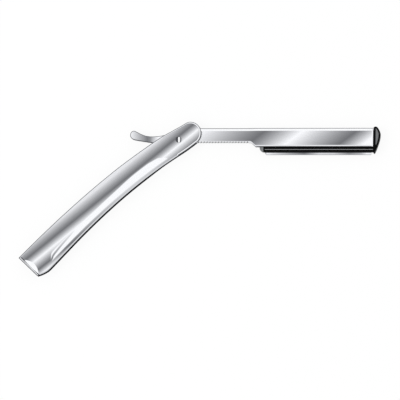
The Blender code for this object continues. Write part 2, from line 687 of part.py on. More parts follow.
def build_blade(steel):
    """The long single-edged blade, with two notches that straddle the carrier's bridges."""
    half, edge = BLADE_THICKNESS / 2.0, BLADE_EDGE_THICKNESS / 2.0
    half_section = [(-BLADE_TOP, half), (-BLADE_EDGE + BLADE_GRIND, half), (-BLADE_EDGE, edge)]
    section = half_section + [(up, -out) for up, out in reversed(half_section)]
    mesh = prism("razor_blade", section, BLADE_LENGTH / 2.0 + OVERRUN, YZ_FRAME)
    mesh.transform(Matrix.Translation(((BLADE_START + BLADE_END) / 2.0, 0.0, 0.0)))
    blade = add_part("razor_blade", mesh, CARRIER, steel)

    corner = BLADE_CORNER
    top = -BLADE_TOP + OVERRUN
    floor = -BLADE_TOP + SEAT_GAP - BRIDGE_HEIGHT - SEAT_GAP
    reach = BRIDGE_LENGTH / 2.0 + RUNNING_GAP
    outline = [(BLADE_START, top), (BLADE_START, -BLADE_EDGE + corner), (BLADE_START + corner, -BLADE_EDGE)]
    outline += [(BLADE_END - corner / 2.0, -BLADE_EDGE), (BLADE_END, -BLADE_EDGE + corner), (BLADE_END, top)]
    for place in reversed(bridge_places()):
        outline += [(place + reach, top), (place + reach, floor), (place - reach, floor), (place - reach, top)]
    trim = add_cutter("blade_outline", prism("blade_outline", outline, BLADE_THICKNESS + OVERRUN), CARRIER)
    combine(blade, trim, "INTERSECT")


def stand_on_floor():
    """Moves the whole razor so that its box stands on Z = 0 with its middle over the origin."""
    bpy.context.view_layer.update()
    graph = bpy.context.evaluated_depsgraph_get()
    corners = []
    for part in PARTS.objects:
        if part.type == "MESH":
            solid = part.evaluated_get(graph)
            corners += [solid.matrix_world @ vertex.co for vertex in solid.data.vertices]
    low = Vector([min(corner[axis] for corner in corners) for axis in range(3)])
    high = Vector([max(corner[axis] for corner in corners) for axis in range(3)])
    PIVOT.location -= Vector(((low.x + high.x) / 2.0, (low.y + high.y) / 2.0, low.z))
    bpy.context.view_layer.update()


def add_frame(name, parent):
    frame = bpy.data.objects.new(name, None)
    frame.empty_display_size = BOSS_RADIUS
    PARTS.objects.link(frame)
    frame.parent = parent
    return frame


clear_scene()
PARTS = new_collection("shaving_razor")
CUTTERS = new_collection("cutters")
PIVOT = add_frame("pivot_frame", None)
ARM = add_frame("arm_frame", PIVOT)
ARM.rotation_euler = (0.0, 0.0, OPEN_ANGLE - math.pi)
CARRIER = add_frame("carrier_frame", ARM)

polished_steel = finish("polished_steel", (0.78, 0.79, 0.81), 0.14, 1.0)
arm_steel = finish("arm_steel", (0.80, 0.81, 0.83), 0.12, 1.0)
blade_steel = finish("blade_steel", (0.82, 0.83, 0.85), 0.20, 1.0)
bearing_brass = finish("bearing_brass", (0.72, 0.58, 0.30), 0.30, 1.0)
black_plastic = finish("black_plastic", (0.012, 0.012, 0.013), 0.35, 0.0)

pivot_crest = build_handle(polished_steel)
build_pivot(pivot_crest, arm_steel, bearing_brass)
build_arm(arm_steel)
tenon = build_carrier(black_plastic)
build_cap(*tenon, black_plastic)
build_blade(blade_steel)
stand_on_floor()
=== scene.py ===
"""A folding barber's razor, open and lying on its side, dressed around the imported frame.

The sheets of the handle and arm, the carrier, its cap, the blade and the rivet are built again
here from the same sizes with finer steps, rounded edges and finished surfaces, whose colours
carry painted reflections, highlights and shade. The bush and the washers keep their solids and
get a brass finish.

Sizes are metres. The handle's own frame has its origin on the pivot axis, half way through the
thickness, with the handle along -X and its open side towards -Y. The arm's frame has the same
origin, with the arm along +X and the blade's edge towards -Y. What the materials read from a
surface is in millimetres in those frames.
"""

import json
import math

import bmesh
import bpy
import numpy
from mathutils import Matrix, Vector


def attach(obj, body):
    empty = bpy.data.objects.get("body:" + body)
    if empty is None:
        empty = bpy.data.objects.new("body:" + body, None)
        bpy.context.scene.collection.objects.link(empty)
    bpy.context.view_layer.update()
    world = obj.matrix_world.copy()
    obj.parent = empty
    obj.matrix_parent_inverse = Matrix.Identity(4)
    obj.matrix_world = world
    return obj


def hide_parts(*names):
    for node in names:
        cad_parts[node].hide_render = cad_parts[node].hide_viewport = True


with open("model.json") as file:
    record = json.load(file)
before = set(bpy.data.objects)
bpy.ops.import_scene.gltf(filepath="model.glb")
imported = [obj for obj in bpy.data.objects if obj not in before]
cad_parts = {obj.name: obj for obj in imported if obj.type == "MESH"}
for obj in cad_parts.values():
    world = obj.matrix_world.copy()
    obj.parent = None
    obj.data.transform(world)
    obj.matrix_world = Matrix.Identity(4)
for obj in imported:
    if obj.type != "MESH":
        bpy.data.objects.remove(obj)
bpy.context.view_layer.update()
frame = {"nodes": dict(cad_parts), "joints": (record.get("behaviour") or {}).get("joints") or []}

HINGE, SLIDE = frame["joints"]
MM = 0.001

# The frames of the handle and the arm
HANDLE_PLACE = Matrix.Translation(HINGE["pos_m"])
ARM_PLACE = HANDLE_PLACE @ Matrix.Rotation(math.atan2(SLIDE["axis"][1], SLIDE["axis"][0]), 4, "Z")

# Clearances
RUNNING_GAP = 0.0002
SEAT_GAP = 0.0003
SIDE_GAP = 0.0003
OVERRUN = 0.004

# Handle sheet
HANDLE_REACH = 0.1145
BACK_BULGE = 0.01115
FRONT_DEPTH = 0.0086
NOSE_START = 0.0070
NOSE_REACH = 0.0071
NOSE_HALF_WIDTH_SHARE = 1.01
BUTT_LEAN = math.radians(5.6)
HANDLE_WALL = 0.0008
CROWN_RISE = 0.0012
FOLD_RADIUS = 0.0014
LIP_BEVEL = 0.00025
BUTT_RIM = 0.0012
BUTT_RIM_DROP = 0.0010
BUTT_FACET_LENGTH = 0.0027
TANG_SLOT_LENGTH = 0.0295
NOSE_RIM_WIDTH = 0.0009
NOSE_RIM_DROP = 0.00035
NOSE_RIM_FADE = 0.0110
RIDGE_HALF_WIDTH = 0.00050
LENS_START = 0.00150
LENS_MIDDLE = -0.00075
LENS_HALF_WIDTH = 0.00595
LENS_BULGE = 0.00236
LENS_HOLLOW = 0.0004

# Arm sheet
SPINE_HEIGHT = 0.00714
SHANK_EDGE = 0.0014
SLEEVE_EDGE = 0.00382
SHANK_THICKNESS = 0.0024
SHEET = 0.0006
SHANK_LENGTH = 0.0412
SHOULDER_LENGTH = 0.0046
FLARE_LEAD_SHARE = 0.5
SLEEVE_END = 0.1129
SPINE_BEVEL_WIDTH = 0.00135
SPINE_BEVEL_DEPTH = 0.0007
LIP_RADIUS = 0.0005
LIP_OVERHANG = 0.0004
EDGE_RADIUS = 0.00025
EDGE_MOST_SHARE = 0.45
CREASE_LEAST_SHARE = 0.3
TANG_REACH = 0.02875
TANG_TIP_SHARE = 0.9995
TANG_ROUND = 0.0022
TANG_ROOT = -0.0050
BOSS_RADIUS = 0.0043
BOSS_ARC = (235.0, 305.0)

# Notches under the shank
NOTCH_COUNT = 18
NOTCH_PITCH = 0.00168
NOTCH_RADIUS = 0.00042
NOTCH_START = 0.0114
NOTCH_STEPS = 8

# Blade carrier, cap and blade
SLEEVE_INSIDE = 0.0026
SLEEVE_WEB = 0.0009
BAR_DEPTH = 0.00695
BAR_CHAMFER = 0.0005
BAR_THICKNESS = 0.0030
BAR_NOSE_RADIUS = 0.0026
BEAD_HEIGHT = 0.00553
BEAD_WIDTH = 0.0004
BEAD_RISE = 0.00015
CAP_THICKNESS = 0.0040
CAP_LENGTH = 0.0040
CAP_TOP = 0.0079
CAP_BOTTOM = 0.0078
CAP_EDGE_BEVEL = 0.0004
CAP_PANEL_DEPTH = 0.0003
CAP_PANEL_BORDER = 0.0010
CAP_FIT = 0.0001
BAR_SOFT_EDGE = 0.00015
BAR_NOSE_FACET = 0.0024
BAR_NOSE_FALL = 0.0007
TENON_LENGTH = 0.0020
TENON_HALF_HEIGHT = 0.0026
BLADE_LENGTH = 0.0620
BLADE_THICKNESS = 0.00025
BLADE_TOP = 0.0019
BLADE_SETBACK = 0.0008
BLADE_EDGE = 0.00852
BLADE_GRIND = 0.0009
BLADE_CORNER = 0.0012
BLADE_EDGE_THICKNESS = 0.00006
BLADE_SLOT_GAP = 0.00016
BRIDGE_LENGTH = 0.0030
BRIDGE_HEIGHT = 0.0016
BRIDGE_INSET = 0.0140

# Pivot
RIVET_SHANK_RADIUS = 0.0011
RIVET_HEAD_RADIUS = 0.0017
RIVET_HEAD_HEIGHT = 0.0006
HEAD_RECESS_DEPTH = 0.00035
DOME_TOP_ANGLE = 88.0
BUSH_WALL = 0.0006

# The handle's edges: (share of the reach, share of the bulge or depth)
BACK_SHARES = (
    (-0.15, 0.335), (-0.06, 0.493), (0.0, 0.619), (0.04, 0.705), (0.08, 0.768), (0.16, 0.850),
    (0.24, 0.911), (0.32, 0.964), (0.40, 0.988), (0.48, 1.0), (0.56, 0.995), (0.64, 0.977),
    (0.72, 0.949), (0.80, 0.908), (0.88, 0.855), (0.94, 0.808), (1.0, 0.752), (1.06, 0.690),
)
FRONT_SHARES = (
    (-0.15, 0.965), (-0.06, 0.906), (0.0, 0.856), (0.08, 0.723), (0.16, 0.610), (0.24, 0.545),
    (0.32, 0.503), (0.40, 0.489), (0.48, 0.508), (0.56, 0.552), (0.64, 0.620), (0.72, 0.710),
    (0.80, 0.822), (0.88, 0.938), (0.93, 0.998), (0.955, 0.968), (0.978, 0.890), (1.0, 0.768),
    (1.06, 0.300),
)

# Stretches of the handle, each with the steps that it takes: (share of the reach, steps to the next)
HANDLE_STRETCHES = ((-0.15, 4), (-0.125, 56), (0.02, 80), (0.855, 60), (1.0, 0))

# Across the handle, -1 is the open edge and 1 the folded one
LAND_FRONT_SHARE = -0.15
LAND_BACK_SHARE = 0.25
MOUTH_NARROW_SHARE = 0.09
MOUTH_WIDE_SHARE = 0.29

# The leaf-shaped facet: its lower edge, its upper edge by (share of the reach, place across),
# and its ridge by (share of the reach, share of the leaf's width)
LEAF_LOW_SHARE = -0.757
LEAF_TOP_SHARES = (
    (0.105, -0.66), (0.12, -0.53), (0.14, -0.32), (0.16, -0.27), (0.18, -0.23), (0.20, -0.20),
    (0.30, -0.222), (0.40, -0.311), (0.50, -0.36), (0.60, -0.386), (0.70, -0.372), (0.78, -0.34),
    (0.85, -0.345), (0.865, -0.39), (0.878, -0.53), (0.892, -0.70), (0.90, -0.70),
)
RIDGE_SHARES = ((0.66, 0.97), (0.70, 0.93), (0.78, 0.73), (0.85, 0.55), (0.892, 0.50))
LEAF_START_SHARE = 0.105
LEAF_TIP_SHARE = 0.892
LEAF_END_SHARE = 0.90
RIDGE_START_SHARE = 0.62
PARTING_SHARES = (0.66, 0.74)

# How many steps each strip across the handle takes, and down the arm's side
LIP_STRIP_STEPS = 4
LEAF_STRIP_STEPS = 4
LAND_STRIP_STEPS = 16
FOLD_STEPS = 8
SPINE_STRIP_STEPS = 3
SIDE_STRIP_STEPS = 10

# The tang's upper edge, tip and lower edge: (share of its reach, share of the spine's height)
TANG_SHARES = (
    (-0.42, 1.06), (-0.20, 0.985), (-0.08, 0.93), (0.07, 0.76), (0.20, 0.555), (0.30, 0.433),
    (0.40, 0.353), (0.50, 0.321), (0.595, 0.325), (0.69, 0.387), (0.77, 0.505), (0.856, 0.674),
    (0.921, 0.790), (0.967, 0.735), (0.992, 0.600), (1.0, 0.434), (0.993, 0.285),
    (0.970, 0.160), (0.930, 0.065), (0.861, -0.003), (0.763, -0.069), (0.666, -0.133),
    (0.568, -0.193), (0.40, -0.310), (0.27, -0.430),
)

# From the boss to the first notch: (share of the notch's place, share of the boss's depth)
BOSS_BLEND_SHARES = ((0.62, 0.38), (0.85, 0.036), (1.0, 0.0))

# The cap seen from the side: (share of its length, share of its top or bottom)
CAP_SHARES = (
    (0.0, 0.93), (0.14, 0.985), (0.32, 1.0), (0.50, 0.965), (0.68, 0.86), (0.87, 0.69),
    (0.98, 0.50), (0.99, 0.33), (0.93, 0.10), (0.80, -0.17), (0.62, -0.45), (0.44, -0.70),
    (0.24, -0.93), (0.12, -0.995), (0.0, -0.96),
)

# Sizes that follow from the ones above
SLEEVE_THICKNESS = SLEEVE_INSIDE + 2.0 * SHEET
WIDE_MOUTH = max(CAP_THICKNESS, SLEEVE_THICKNESS) + 2.0 * SIDE_GAP
NARROW_MOUTH = SHANK_THICKNESS + 2.0 * SIDE_GAP
RAIL_THICKNESS = SLEEVE_INSIDE - 2.0 * RUNNING_GAP
LIP_OPENING = SLEEVE_INSIDE - 2.0 * LIP_OVERHANG
NECK_THICKNESS = LIP_OPENING - 2.0 * RUNNING_GAP
SLEEVE_START = SHANK_LENGTH + SHOULDER_LENGTH
HOLLOW_START = SLEEVE_START + SLEEVE_WEB
CARRIER_START = HOLLOW_START + SEAT_GAP
LIP_TOP = -SLEEVE_EDGE + SHEET
CAP_START = SLEEVE_END + SEAT_GAP
BLADE_SLOT = BLADE_THICKNESS + 2.0 * BLADE_SLOT_GAP
BLADE_END = SLEEVE_END - BLADE_SETBACK
BLADE_START = BLADE_END - BLADE_LENGTH
PIVOT_CREST = NARROW_MOUTH / 2.0 + HANDLE_WALL + CROWN_RISE
BUTT_CREST = WIDE_MOUTH / 2.0 + HANDLE_WALL + CROWN_RISE - BUTT_RIM_DROP
ARM_BORE_RADIUS = RIVET_SHANK_RADIUS + RUNNING_GAP + BUSH_WALL + RUNNING_GAP
TANG_TIP = -TANG_REACH * TANG_TIP_SHARE
NOTCH_ZONE_END = NOTCH_START + NOTCH_PITCH * (NOTCH_COUNT - 1) + NOTCH_RADIUS

# Stretches of the arm: start, end and steps; the notches come where the second one ends
ARM_STRETCHES = (
    (TANG_TIP + TANG_ROUND, TANG_ROOT, 44), (TANG_ROOT, NOTCH_START - NOTCH_RADIUS, 24),
    (NOTCH_ZONE_END + NOTCH_RADIUS, SLEEVE_START, 12), (SLEEVE_START, SLEEVE_END, 44),
)

ROUND_STEPS = 64
SMALL_STEPS = 16
CURVE_STEPS = 6

# What a cut may leave between points that belong together
WELD_GAP = 0.000002
MELT_GAP = 0.000001

# Angles above which an edge stays sharp
SHEET_SHARP = math.radians(32.0)
ROUND_SHARP = math.radians(40.0)
BLADE_SHARP = math.radians(5.0)

XY_FRAME = Matrix.Identity(4)
XZ_FRAME = Matrix.Rotation(math.radians(90.0), 4, "X")
YZ_FRAME = Matrix(((0.0, 0.0, 1.0), (1.0, 0.0, 0.0), (0.0, 1.0, 0.0))).to_4x4()


# Shapes

def read_curve(table, place):
    """The value at one place of a smooth curve through (place, value) pairs."""
    last = len(table) - 1
    span = 0
    while span < last - 1 and place > table[span + 1][0]:
        span += 1

    def slope(index):
        before, after = table[max(index - 1, 0)], table[min(index + 1, last)]
        return (after[1] - before[1]) / (after[0] - before[0])

    (start, low), (end, high) = table[span], table[span + 1]
    width = end - start
    t = (place - start) / width
    return (
        low * (1.0 + 2.0 * t) * (1.0 - t) ** 2
        + high * t * t * (3.0 - 2.0 * t)
        + slope(span) * width * t * (1.0 - t) ** 2
        - slope(span + 1) * width * t * t * (1.0 - t)
    )


def read_within(table, place):
    """The same curve, held at its first and last values outside its table."""
    return read_curve(table, min(max(place, table[0][0]), table[-1][0]))


def smooth_line(points, steps):
    """Points along a smooth line through the given ones."""
    line = []
    last = len(points) - 1
    for span in range(last):
        a, b = Vector(points[max(span - 1, 0)]), Vector(points[span])
        c, d = Vector(points[span + 1]), Vector(points[min(span + 2, last)])
        for step in range(steps):
            t = step / steps
            line.append(
                0.5 * (2.0 * b + (c - a) * t + (2.0 * a - 5.0 * b + 4.0 * c - d) * t * t
                       + (3.0 * b - a - 3.0 * c + d) * t ** 3)
            )
    line.append(Vector(points[last]))
    return [tuple(point) for point in line]


def arc(centre, radii, start, end, steps):
    """Points on an arc, angles in degrees."""
    turns = [math.radians(start + (end - start) * step / steps) for step in range(steps + 1)]
    (x, y), (wide, high) = centre, radii
    return [(x + wide * math.cos(turn), y + high * math.sin(turn)) for turn in turns]


def circle(radius):
    return arc((0.0, 0.0), (radius, radius), 0.0, 360.0, ROUND_STEPS)[:-1]


def quarter_turn(steps):
    """Evenly spaced angles from 0 to 90 degrees."""
    return [math.radians(90.0) * step / steps for step in range(steps + 1)]


def mirrored(half):
    """Pairs, and after them the same pairs in reverse with their second value mirrored."""
    return half + [(first, -second) for first, second in reversed(half)]


def ease(value):
    """Runs smoothly from 0 to 1."""
    value = min(max(value, 0.0), 1.0)
    return value * value * (3.0 - 2.0 * value)


def steps_between(low, high, steps):
    """Evenly spaced values from low up to, but without, high."""
    return [low + (high - low) * step / steps for step in range(steps)]


def round_off(gap, width, drop):
    """How far a rounded edge has fallen at a distance from its outline."""
    share = 1.0 - min(max(gap / width, 0.0), 1.0)
    return drop * (1.0 - math.sqrt(1.0 - share * share))


def new_piece(name, shape, place):
    """An object from a bmesh, in one of the frames."""
    mesh = bpy.data.meshes.new(name)
    shape.to_mesh(mesh)
    shape.free()
    piece = bpy.data.objects.new(name, mesh)
    bpy.context.scene.collection.objects.link(piece)
    piece.matrix_world = place
    return piece


def prism(outline, half_depth, axes=XY_FRAME):
    """A bmesh made from a flat outline with thickness on both sides of it."""
    shape = bmesh.new()
    top = [shape.verts.new((across, up, half_depth)) for across, up in outline]
    low = [shape.verts.new((across, up, -half_depth)) for across, up in outline]
    shape.faces.new(top)
    shape.faces.new(low[::-1])
    for index, start in enumerate(top):
        after = (index + 1) % len(top)
        shape.faces.new((start, low[index], low[after], top[after]))
    bmesh.ops.transform(shape, matrix=axes, verts=shape.verts)
    bmesh.ops.recalc_face_normals(shape, faces=shape.faces)
    return shape


def rod(place, radius, half_length):
    """An upright round bmesh rod."""
    return moved(prism(circle(radius), half_length), place)


def moved(shape, offset):
    bmesh.ops.translate(shape, verts=shape.verts, vec=offset)
    return shape


def beam(section, start, end, spare=0.0):
    """A bmesh bar along the arm from a (height, thickness) section, with spare length at both ends."""
    shape = prism(section, (end - start) / 2.0 + spare, YZ_FRAME)
    return moved(shape, ((start + end) / 2.0, 0.0, 0.0))


def cut(piece, cutouts, trim):
    """Keeps what lies in the trim, where there is one, and takes the cutouts out of it."""
    trims = [] if trim is None else [("INTERSECT", trim)]
    for operation, shape in trims + [("DIFFERENCE", cutout) for cutout in cutouts]:
        cutter = new_piece("cutter", shape, piece.matrix_world)
        modifier = piece.modifiers.new("cut", "BOOLEAN")
        modifier.operation = operation
        modifier.solver = "EXACT"
        modifier.object = cutter
        bpy.context.view_layer.update()
        solid = piece.evaluated_get(bpy.context.evaluated_depsgraph_get())
        mesh = bpy.data.meshes.new_from_object(solid)
        piece.modifiers.clear()
        old, piece.data = piece.data, mesh
        bpy.data.meshes.remove(old)
        mesh.name = piece.name
        bpy.data.objects.remove(cutter, do_unlink=True)


def tidy_mesh(piece, sharp_angle):
    """Welds what the cuts left doubled and shades the piece smooth up to an angle."""
    shape = bmesh.new()
    shape.from_mesh(piece.data)
    bmesh.ops.remove_doubles(shape, verts=shape.verts, dist=WELD_GAP)
    bmesh.ops.dissolve_degenerate(shape, edges=shape.edges, dist=MELT_GAP)
    bmesh.ops.recalc_face_normals(shape, faces=shape.faces)
    for face in shape.faces:
        face.smooth = True
    for edge in shape.edges:
        edge.smooth = len(edge.link_faces) == 2 and edge.calc_face_angle(0.0) < sharp_angle
    shape.to_mesh(piece.data)
    shape.free()


def write_marks(piece, measures):
    """Stores named measures of the surface, each from a function of the place in millimetres."""
    mesh = piece.data
    places = numpy.zeros(len(mesh.vertices) * 3)
    mesh.vertices.foreach_get("co", places)
    places = places.reshape(-1, 3) / MM
    for name, measure in measures.items():
        layer = mesh.attributes.new(name, "FLOAT", "POINT")
        layer.data.foreach_set("value", [measure(*place) for place in places])
    layer = mesh.attributes.new("place", "FLOAT_VECTOR", "POINT")
    layer.data.foreach_set("vector", places.ravel())


def shaped(piece, sharp_angle, cutouts=(), trim=None, **measures):
    """Cuts a piece, cleans its mesh and stores measures of its surface."""
    cut(piece, cutouts, trim)
    tidy_mesh(piece, sharp_angle)
    write_marks(piece, measures)
    return piece


# Handle

def mouth_half(share):
    """Half of the handle's open gap: narrow beside the pivot, wider where the sleeve lies."""
    wide = ease((share - MOUTH_NARROW_SHARE) / (MOUTH_WIDE_SHARE - MOUTH_NARROW_SHARE))
    return (NARROW_MOUTH + (WIDE_MOUTH - NARROW_MOUTH) * wide) / 2.0


def crown(across):
    """The handle's crown, from 0 at its edges to 1 on its flat land."""
    if across < LAND_FRONT_SHARE:
        return 1.0 - ((LAND_FRONT_SHARE - across) / (1.0 + LAND_FRONT_SHARE)) ** 2
    if across > LAND_BACK_SHARE:
        return 1.0 - ((across - LAND_BACK_SHARE) / (1.0 - LAND_BACK_SHARE)) ** 2
    return 1.0


def handle_edges(share):
    """The open edge and the folded back, as heights on Y."""
    return -FRONT_DEPTH * read_curve(FRONT_SHARES, share), BACK_BULGE * read_curve(BACK_SHARES, share)


def leaf_lines(share):
    """The lower edge, ridge and upper edge of the leaf-shaped facet, as heights on Y."""
    front, back = handle_edges(share)
    middle, half = (front + back) / 2.0, (back - front) / 2.0
    low = middle + LEAF_LOW_SHARE * half
    top = middle + read_within(LEAF_TOP_SHARES, share) * half
    ridge = low + (top - low) * read_within(RIDGE_SHARES, share)
    return low, ridge, top


def nose_ellipse():
    """The centre and radii of the nose's rounded outline."""
    front, back = handle_edges(-NOSE_START / HANDLE_REACH)
    half = (back - front) / 2.0 * NOSE_HALF_WIDTH_SHARE
    return (NOSE_START, (front + back) / 2.0), (NOSE_REACH, half)


def nose_gap(x, y):
    """Roughly how far a place lies inside the nose's outline."""
    centre, radii = NOSE
    ahead = max(x - centre[0], 0.0) / radii[0]
    side = (y - centre[1]) / radii[1]
    if not ahead:
        front, back = handle_edges(-x / HANDLE_REACH)
        return min(y - front, back - y)
    return (1.0 - math.hypot(ahead, side)) * (radii[0] + radii[1]) / 2.0


def butt_gap(x, y):
    """How far a place lies ahead of the butt's slanting end."""
    return (x + HANDLE_REACH) * math.cos(BUTT_LEAN) + y * math.sin(BUTT_LEAN)


def butt_slant(share):
    """How much a section leans, from none at the leaf's end to the butt's whole lean."""
    return math.tan(BUTT_LEAN) * ease((share - LEAF_END_SHARE) / (1.0 - LEAF_END_SHARE))


def handle_rows(share):
    """The outer and inner points of a section, from the upper lip round the fold to the lower lip."""
    front, back = handle_edges(share)
    middle, half = (front + back) / 2.0, (back - front) / 2.0
    edge = mouth_half(share) + HANDLE_WALL
    low, ridge, top = leaf_lines(share)
    proud = ease((share - RIDGE_START_SHARE) / (LEAF_END_SHARE - RIDGE_START_SHARE))

    def crest(y):
        return edge + CROWN_RISE * crown((y - middle) / half)

    chord = crest(low) + (crest(top) - crest(low)) * (ridge - low) / (top - low)
    ridge_crest = chord + (crest(ridge) - chord) * proud

    def surface(y):
        if low < y < ridge:
            return crest(low) + (ridge_crest - crest(low)) * (y - low) / (ridge - low)
        if ridge <= y < top:
            return ridge_crest + (crest(top) - ridge_crest) * (y - ridge) / (top - ridge)
        return crest(y)

    lean = butt_slant(share)
    fold_start = back - FOLD_RADIUS
    lines = steps_between(front + LIP_BEVEL, low, LIP_STRIP_STEPS)
    lines += steps_between(low, ridge, LEAF_STRIP_STEPS) + steps_between(ridge, top, LEAF_STRIP_STEPS)
    lines += steps_between(top, fold_start, LAND_STRIP_STEPS)
    shoulder = crest(fold_start)
    outer, inner = [(front, edge - LIP_BEVEL)], [(front, edge - HANDLE_WALL)]
    for y in lines:
        z = surface(y) if y > lines[0] else edge
        x = -share * HANDLE_REACH - lean * y
        fade = ease((x - NOSE_START) / NOSE_RIM_FADE + 1.0)
        z -= fade * round_off(nose_gap(x, y), NOSE_RIM_WIDTH, NOSE_RIM_DROP)
        slope = max(butt_gap(x, y) - BUTT_RIM, 0.0) * BUTT_RIM_DROP / BUTT_FACET_LENGTH
        outer.append((y, min(z, BUTT_CREST + slope)))
        inner.append((y, min(surface(y), BUTT_CREST + slope) - HANDLE_WALL))
    for radius, side in ((FOLD_RADIUS, outer), (FOLD_RADIUS - HANDLE_WALL, inner)):
        side += arc((fold_start, shoulder - FOLD_RADIUS), (radius, radius), 90.0, 0.0, FOLD_STEPS)
    return [[(-share * HANDLE_REACH - lean * y, y, z) for y, z in mirrored(side)]
            for side in (outer, inner)]


def sheet_loft(stations):
    """A folded sheet from pairs of outer and inner rows; the faces of the inside get slot 1."""
    shape = bmesh.new()
    skins = [[[shape.verts.new(point) for point in row] for row in rows] for rows in stations]
    last = len(skins[0][0]) - 1
    for near, far in zip(skins, skins[1:]):
        for slot in (0, 1):
            for index in range(last):
                face = shape.faces.new((near[slot][index], near[slot][index + 1],
                                        far[slot][index + 1], far[slot][index]))
                face.material_index = slot
        for index in (0, last):
            shape.faces.new((near[0][index], far[0][index], far[1][index], near[1][index]))
    for end in (skins[0], skins[-1]):
        for index in range(last):
            shape.faces.new((end[0][index], end[0][index + 1], end[1][index + 1], end[1][index]))
    bmesh.ops.recalc_face_normals(shape, faces=shape.faces)
    return shape


def handle_shares():
    """The places of the handle's sections."""
    shares = []
    for (start, steps), (end, _) in zip(HANDLE_STRETCHES, HANDLE_STRETCHES[1:]):
        shares += steps_between(start, end, steps)
    return shares + [HANDLE_STRETCHES[-1][0]]


def share_at(x, y):
    """The share of the reach whose section holds a place, in millimetres."""
    share = -x * MM / HANDLE_REACH
    for _ in range(3):
        share = -(x * MM + butt_slant(share) * y * MM) / HANDLE_REACH
    return share


def leaf_gap(x, y, z):
    """How far a place lies inside the two blades of the leaf, which its ridge parts."""
    share = share_at(x, y)
    low, ridge, top = (line / MM for line in leaf_lines(share))
    gap = min(y - low, top - y)
    start, end = PARTING_SHARES
    parting = ease((share - start) / (end - start))
    gap = min(gap, abs(y - ridge) - RIDGE_HALF_WIDTH / MM * (2.0 * parting - 1.0))
    ends = min(share - LEAF_START_SHARE, LEAF_TIP_SHARE - share) * HANDLE_REACH / MM
    return min(gap, ends)


def back_gap(x, y, z):
    """How far a place lies from the folded back, seen from above."""
    return handle_edges(share_at(x, y))[1] / MM - y


def front_gap(x, y, z):
    """How far a place lies from the open edge, seen from above."""
    return y - handle_edges(share_at(x, y))[0] / MM


def lens_gap(x, y, z):
    """How far a place lies inside the lens-shaped facet at the butt."""
    ahead = butt_gap(x * MM, y * MM) - LENS_START
    side = (y * MM - LENS_MIDDLE) / LENS_HALF_WIDTH
    fullness = 1.0 - side * side
    return min(LENS_BULGE * fullness - ahead, ahead + LENS_HOLLOW * fullness) / MM


def build_handle():
    sections = [handle_rows(share) for share in handle_shares()]
    handle = new_piece("handle_skin", sheet_loft(sections), HANDLE_PLACE)

    centre, radii = NOSE
    far = -HANDLE_REACH - 2.0 * OVERRUN
    outline = arc(centre, radii, -90.0, 90.0, ROUND_STEPS)
    outline += [(-NOSE_START, BACK_BULGE + OVERRUN), (far, BACK_BULGE + OVERRUN)]
    outline += [(far, -FRONT_DEPTH - OVERRUN), (-NOSE_START, -FRONT_DEPTH - OVERRUN)]
    trim = prism(outline, WIDE_MOUTH + OVERRUN)

    slot_half = NARROW_MOUTH / 2.0
    round_end = (-TANG_SLOT_LENGTH + slot_half, 0.0)
    outline = arc(round_end, (slot_half, slot_half), 90.0, 270.0, SMALL_STEPS)
    mouth = NOSE_START + NOSE_REACH + OVERRUN
    outline += [(mouth, -slot_half), (mouth, slot_half)]
    slot = moved(prism(outline, BACK_BULGE, XZ_FRAME), (0.0, BACK_BULGE, 0.0))

    hole = rod((0.0, 0.0, 0.0), RIVET_SHANK_RADIUS + RUNNING_GAP, PIVOT_CREST + OVERRUN)
    seat = PIVOT_CREST - HEAD_RECESS_DEPTH + OVERRUN
    recesses = [rod((0.0, 0.0, up), RIVET_HEAD_RADIUS + RUNNING_GAP, OVERRUN) for up in (seat, -seat)]
    return shaped(
        handle, SHEET_SHARP, [slot, hole, *recesses], trim,
        back=back_gap, front=front_gap, leaf=leaf_gap, lens=lens_gap,
        nose=lambda x, y, z: nose_gap(x * MM, y * MM) / MM,
        butt=lambda x, y, z: butt_gap(x * MM, y * MM) / MM,
    )


# Arm

def ring_loft(rings, slot_of=None):
    """A closed body through rings with equal numbers of points; slot_of gives a face's slot."""
    shape = bmesh.new()
    rows = [[shape.verts.new(point) for point in ring] for ring in rings]
    count = len(rows[0])
    for station, (near, far) in enumerate(zip(rows, rows[1:])):
        for index in range(count):
            after = (index + 1) % count
            face = shape.faces.new((near[index], near[after], far[after], far[index]))
            if slot_of:
                face.material_index = slot_of(station, index)
    shape.faces.new(rows[0])
    shape.faces.new(rows[-1])
    bmesh.ops.recalc_face_normals(shape, faces=shape.faces)
    return shape


def read_line(points, x):
    """The height of a line of points at one place along it."""
    for (start, low), (end, high) in zip(points, points[1:]):
        if x <= end:
            return low + (high - low) * max(x - start, 0.0) / (end - start)
    return points[-1][1]


def tang_lines():
    """The arm's upper and lower outlines from the tang's tip to where the shank begins."""
    tang = [(-TANG_REACH * along, SPINE_HEIGHT * up) for along, up in TANG_SHARES]
    boss = arc((0.0, 0.0), (BOSS_RADIUS, BOSS_RADIUS), *BOSS_ARC, CURVE_STEPS)
    proud = BOSS_RADIUS - SHANK_EDGE
    blend = [(NOTCH_START * along, -SHANK_EDGE - proud * depth) for along, depth in BOSS_BLEND_SHARES]
    line = smooth_line([*tang, *boss, *blend], CURVE_STEPS)
    tip = min(range(len(line)), key=lambda index: line[index][0])
    return line[tip::-1], line[tip:]


def arm_span(x):
    """The arm's lower and upper edges at one place along it."""
    upper, lower = TANG
    top = min(read_line(upper, x), SPINE_HEIGHT) if x < upper[-1][0] else SPINE_HEIGHT
    drop = SLEEVE_EDGE + LIP_RADIUS - SHANK_EDGE
    if x < NOTCH_START:
        return read_line(lower, x), top
    return max(-SHANK_EDGE - drop * ease((x - SHANK_LENGTH) / SHOULDER_LENGTH), -SLEEVE_EDGE), top


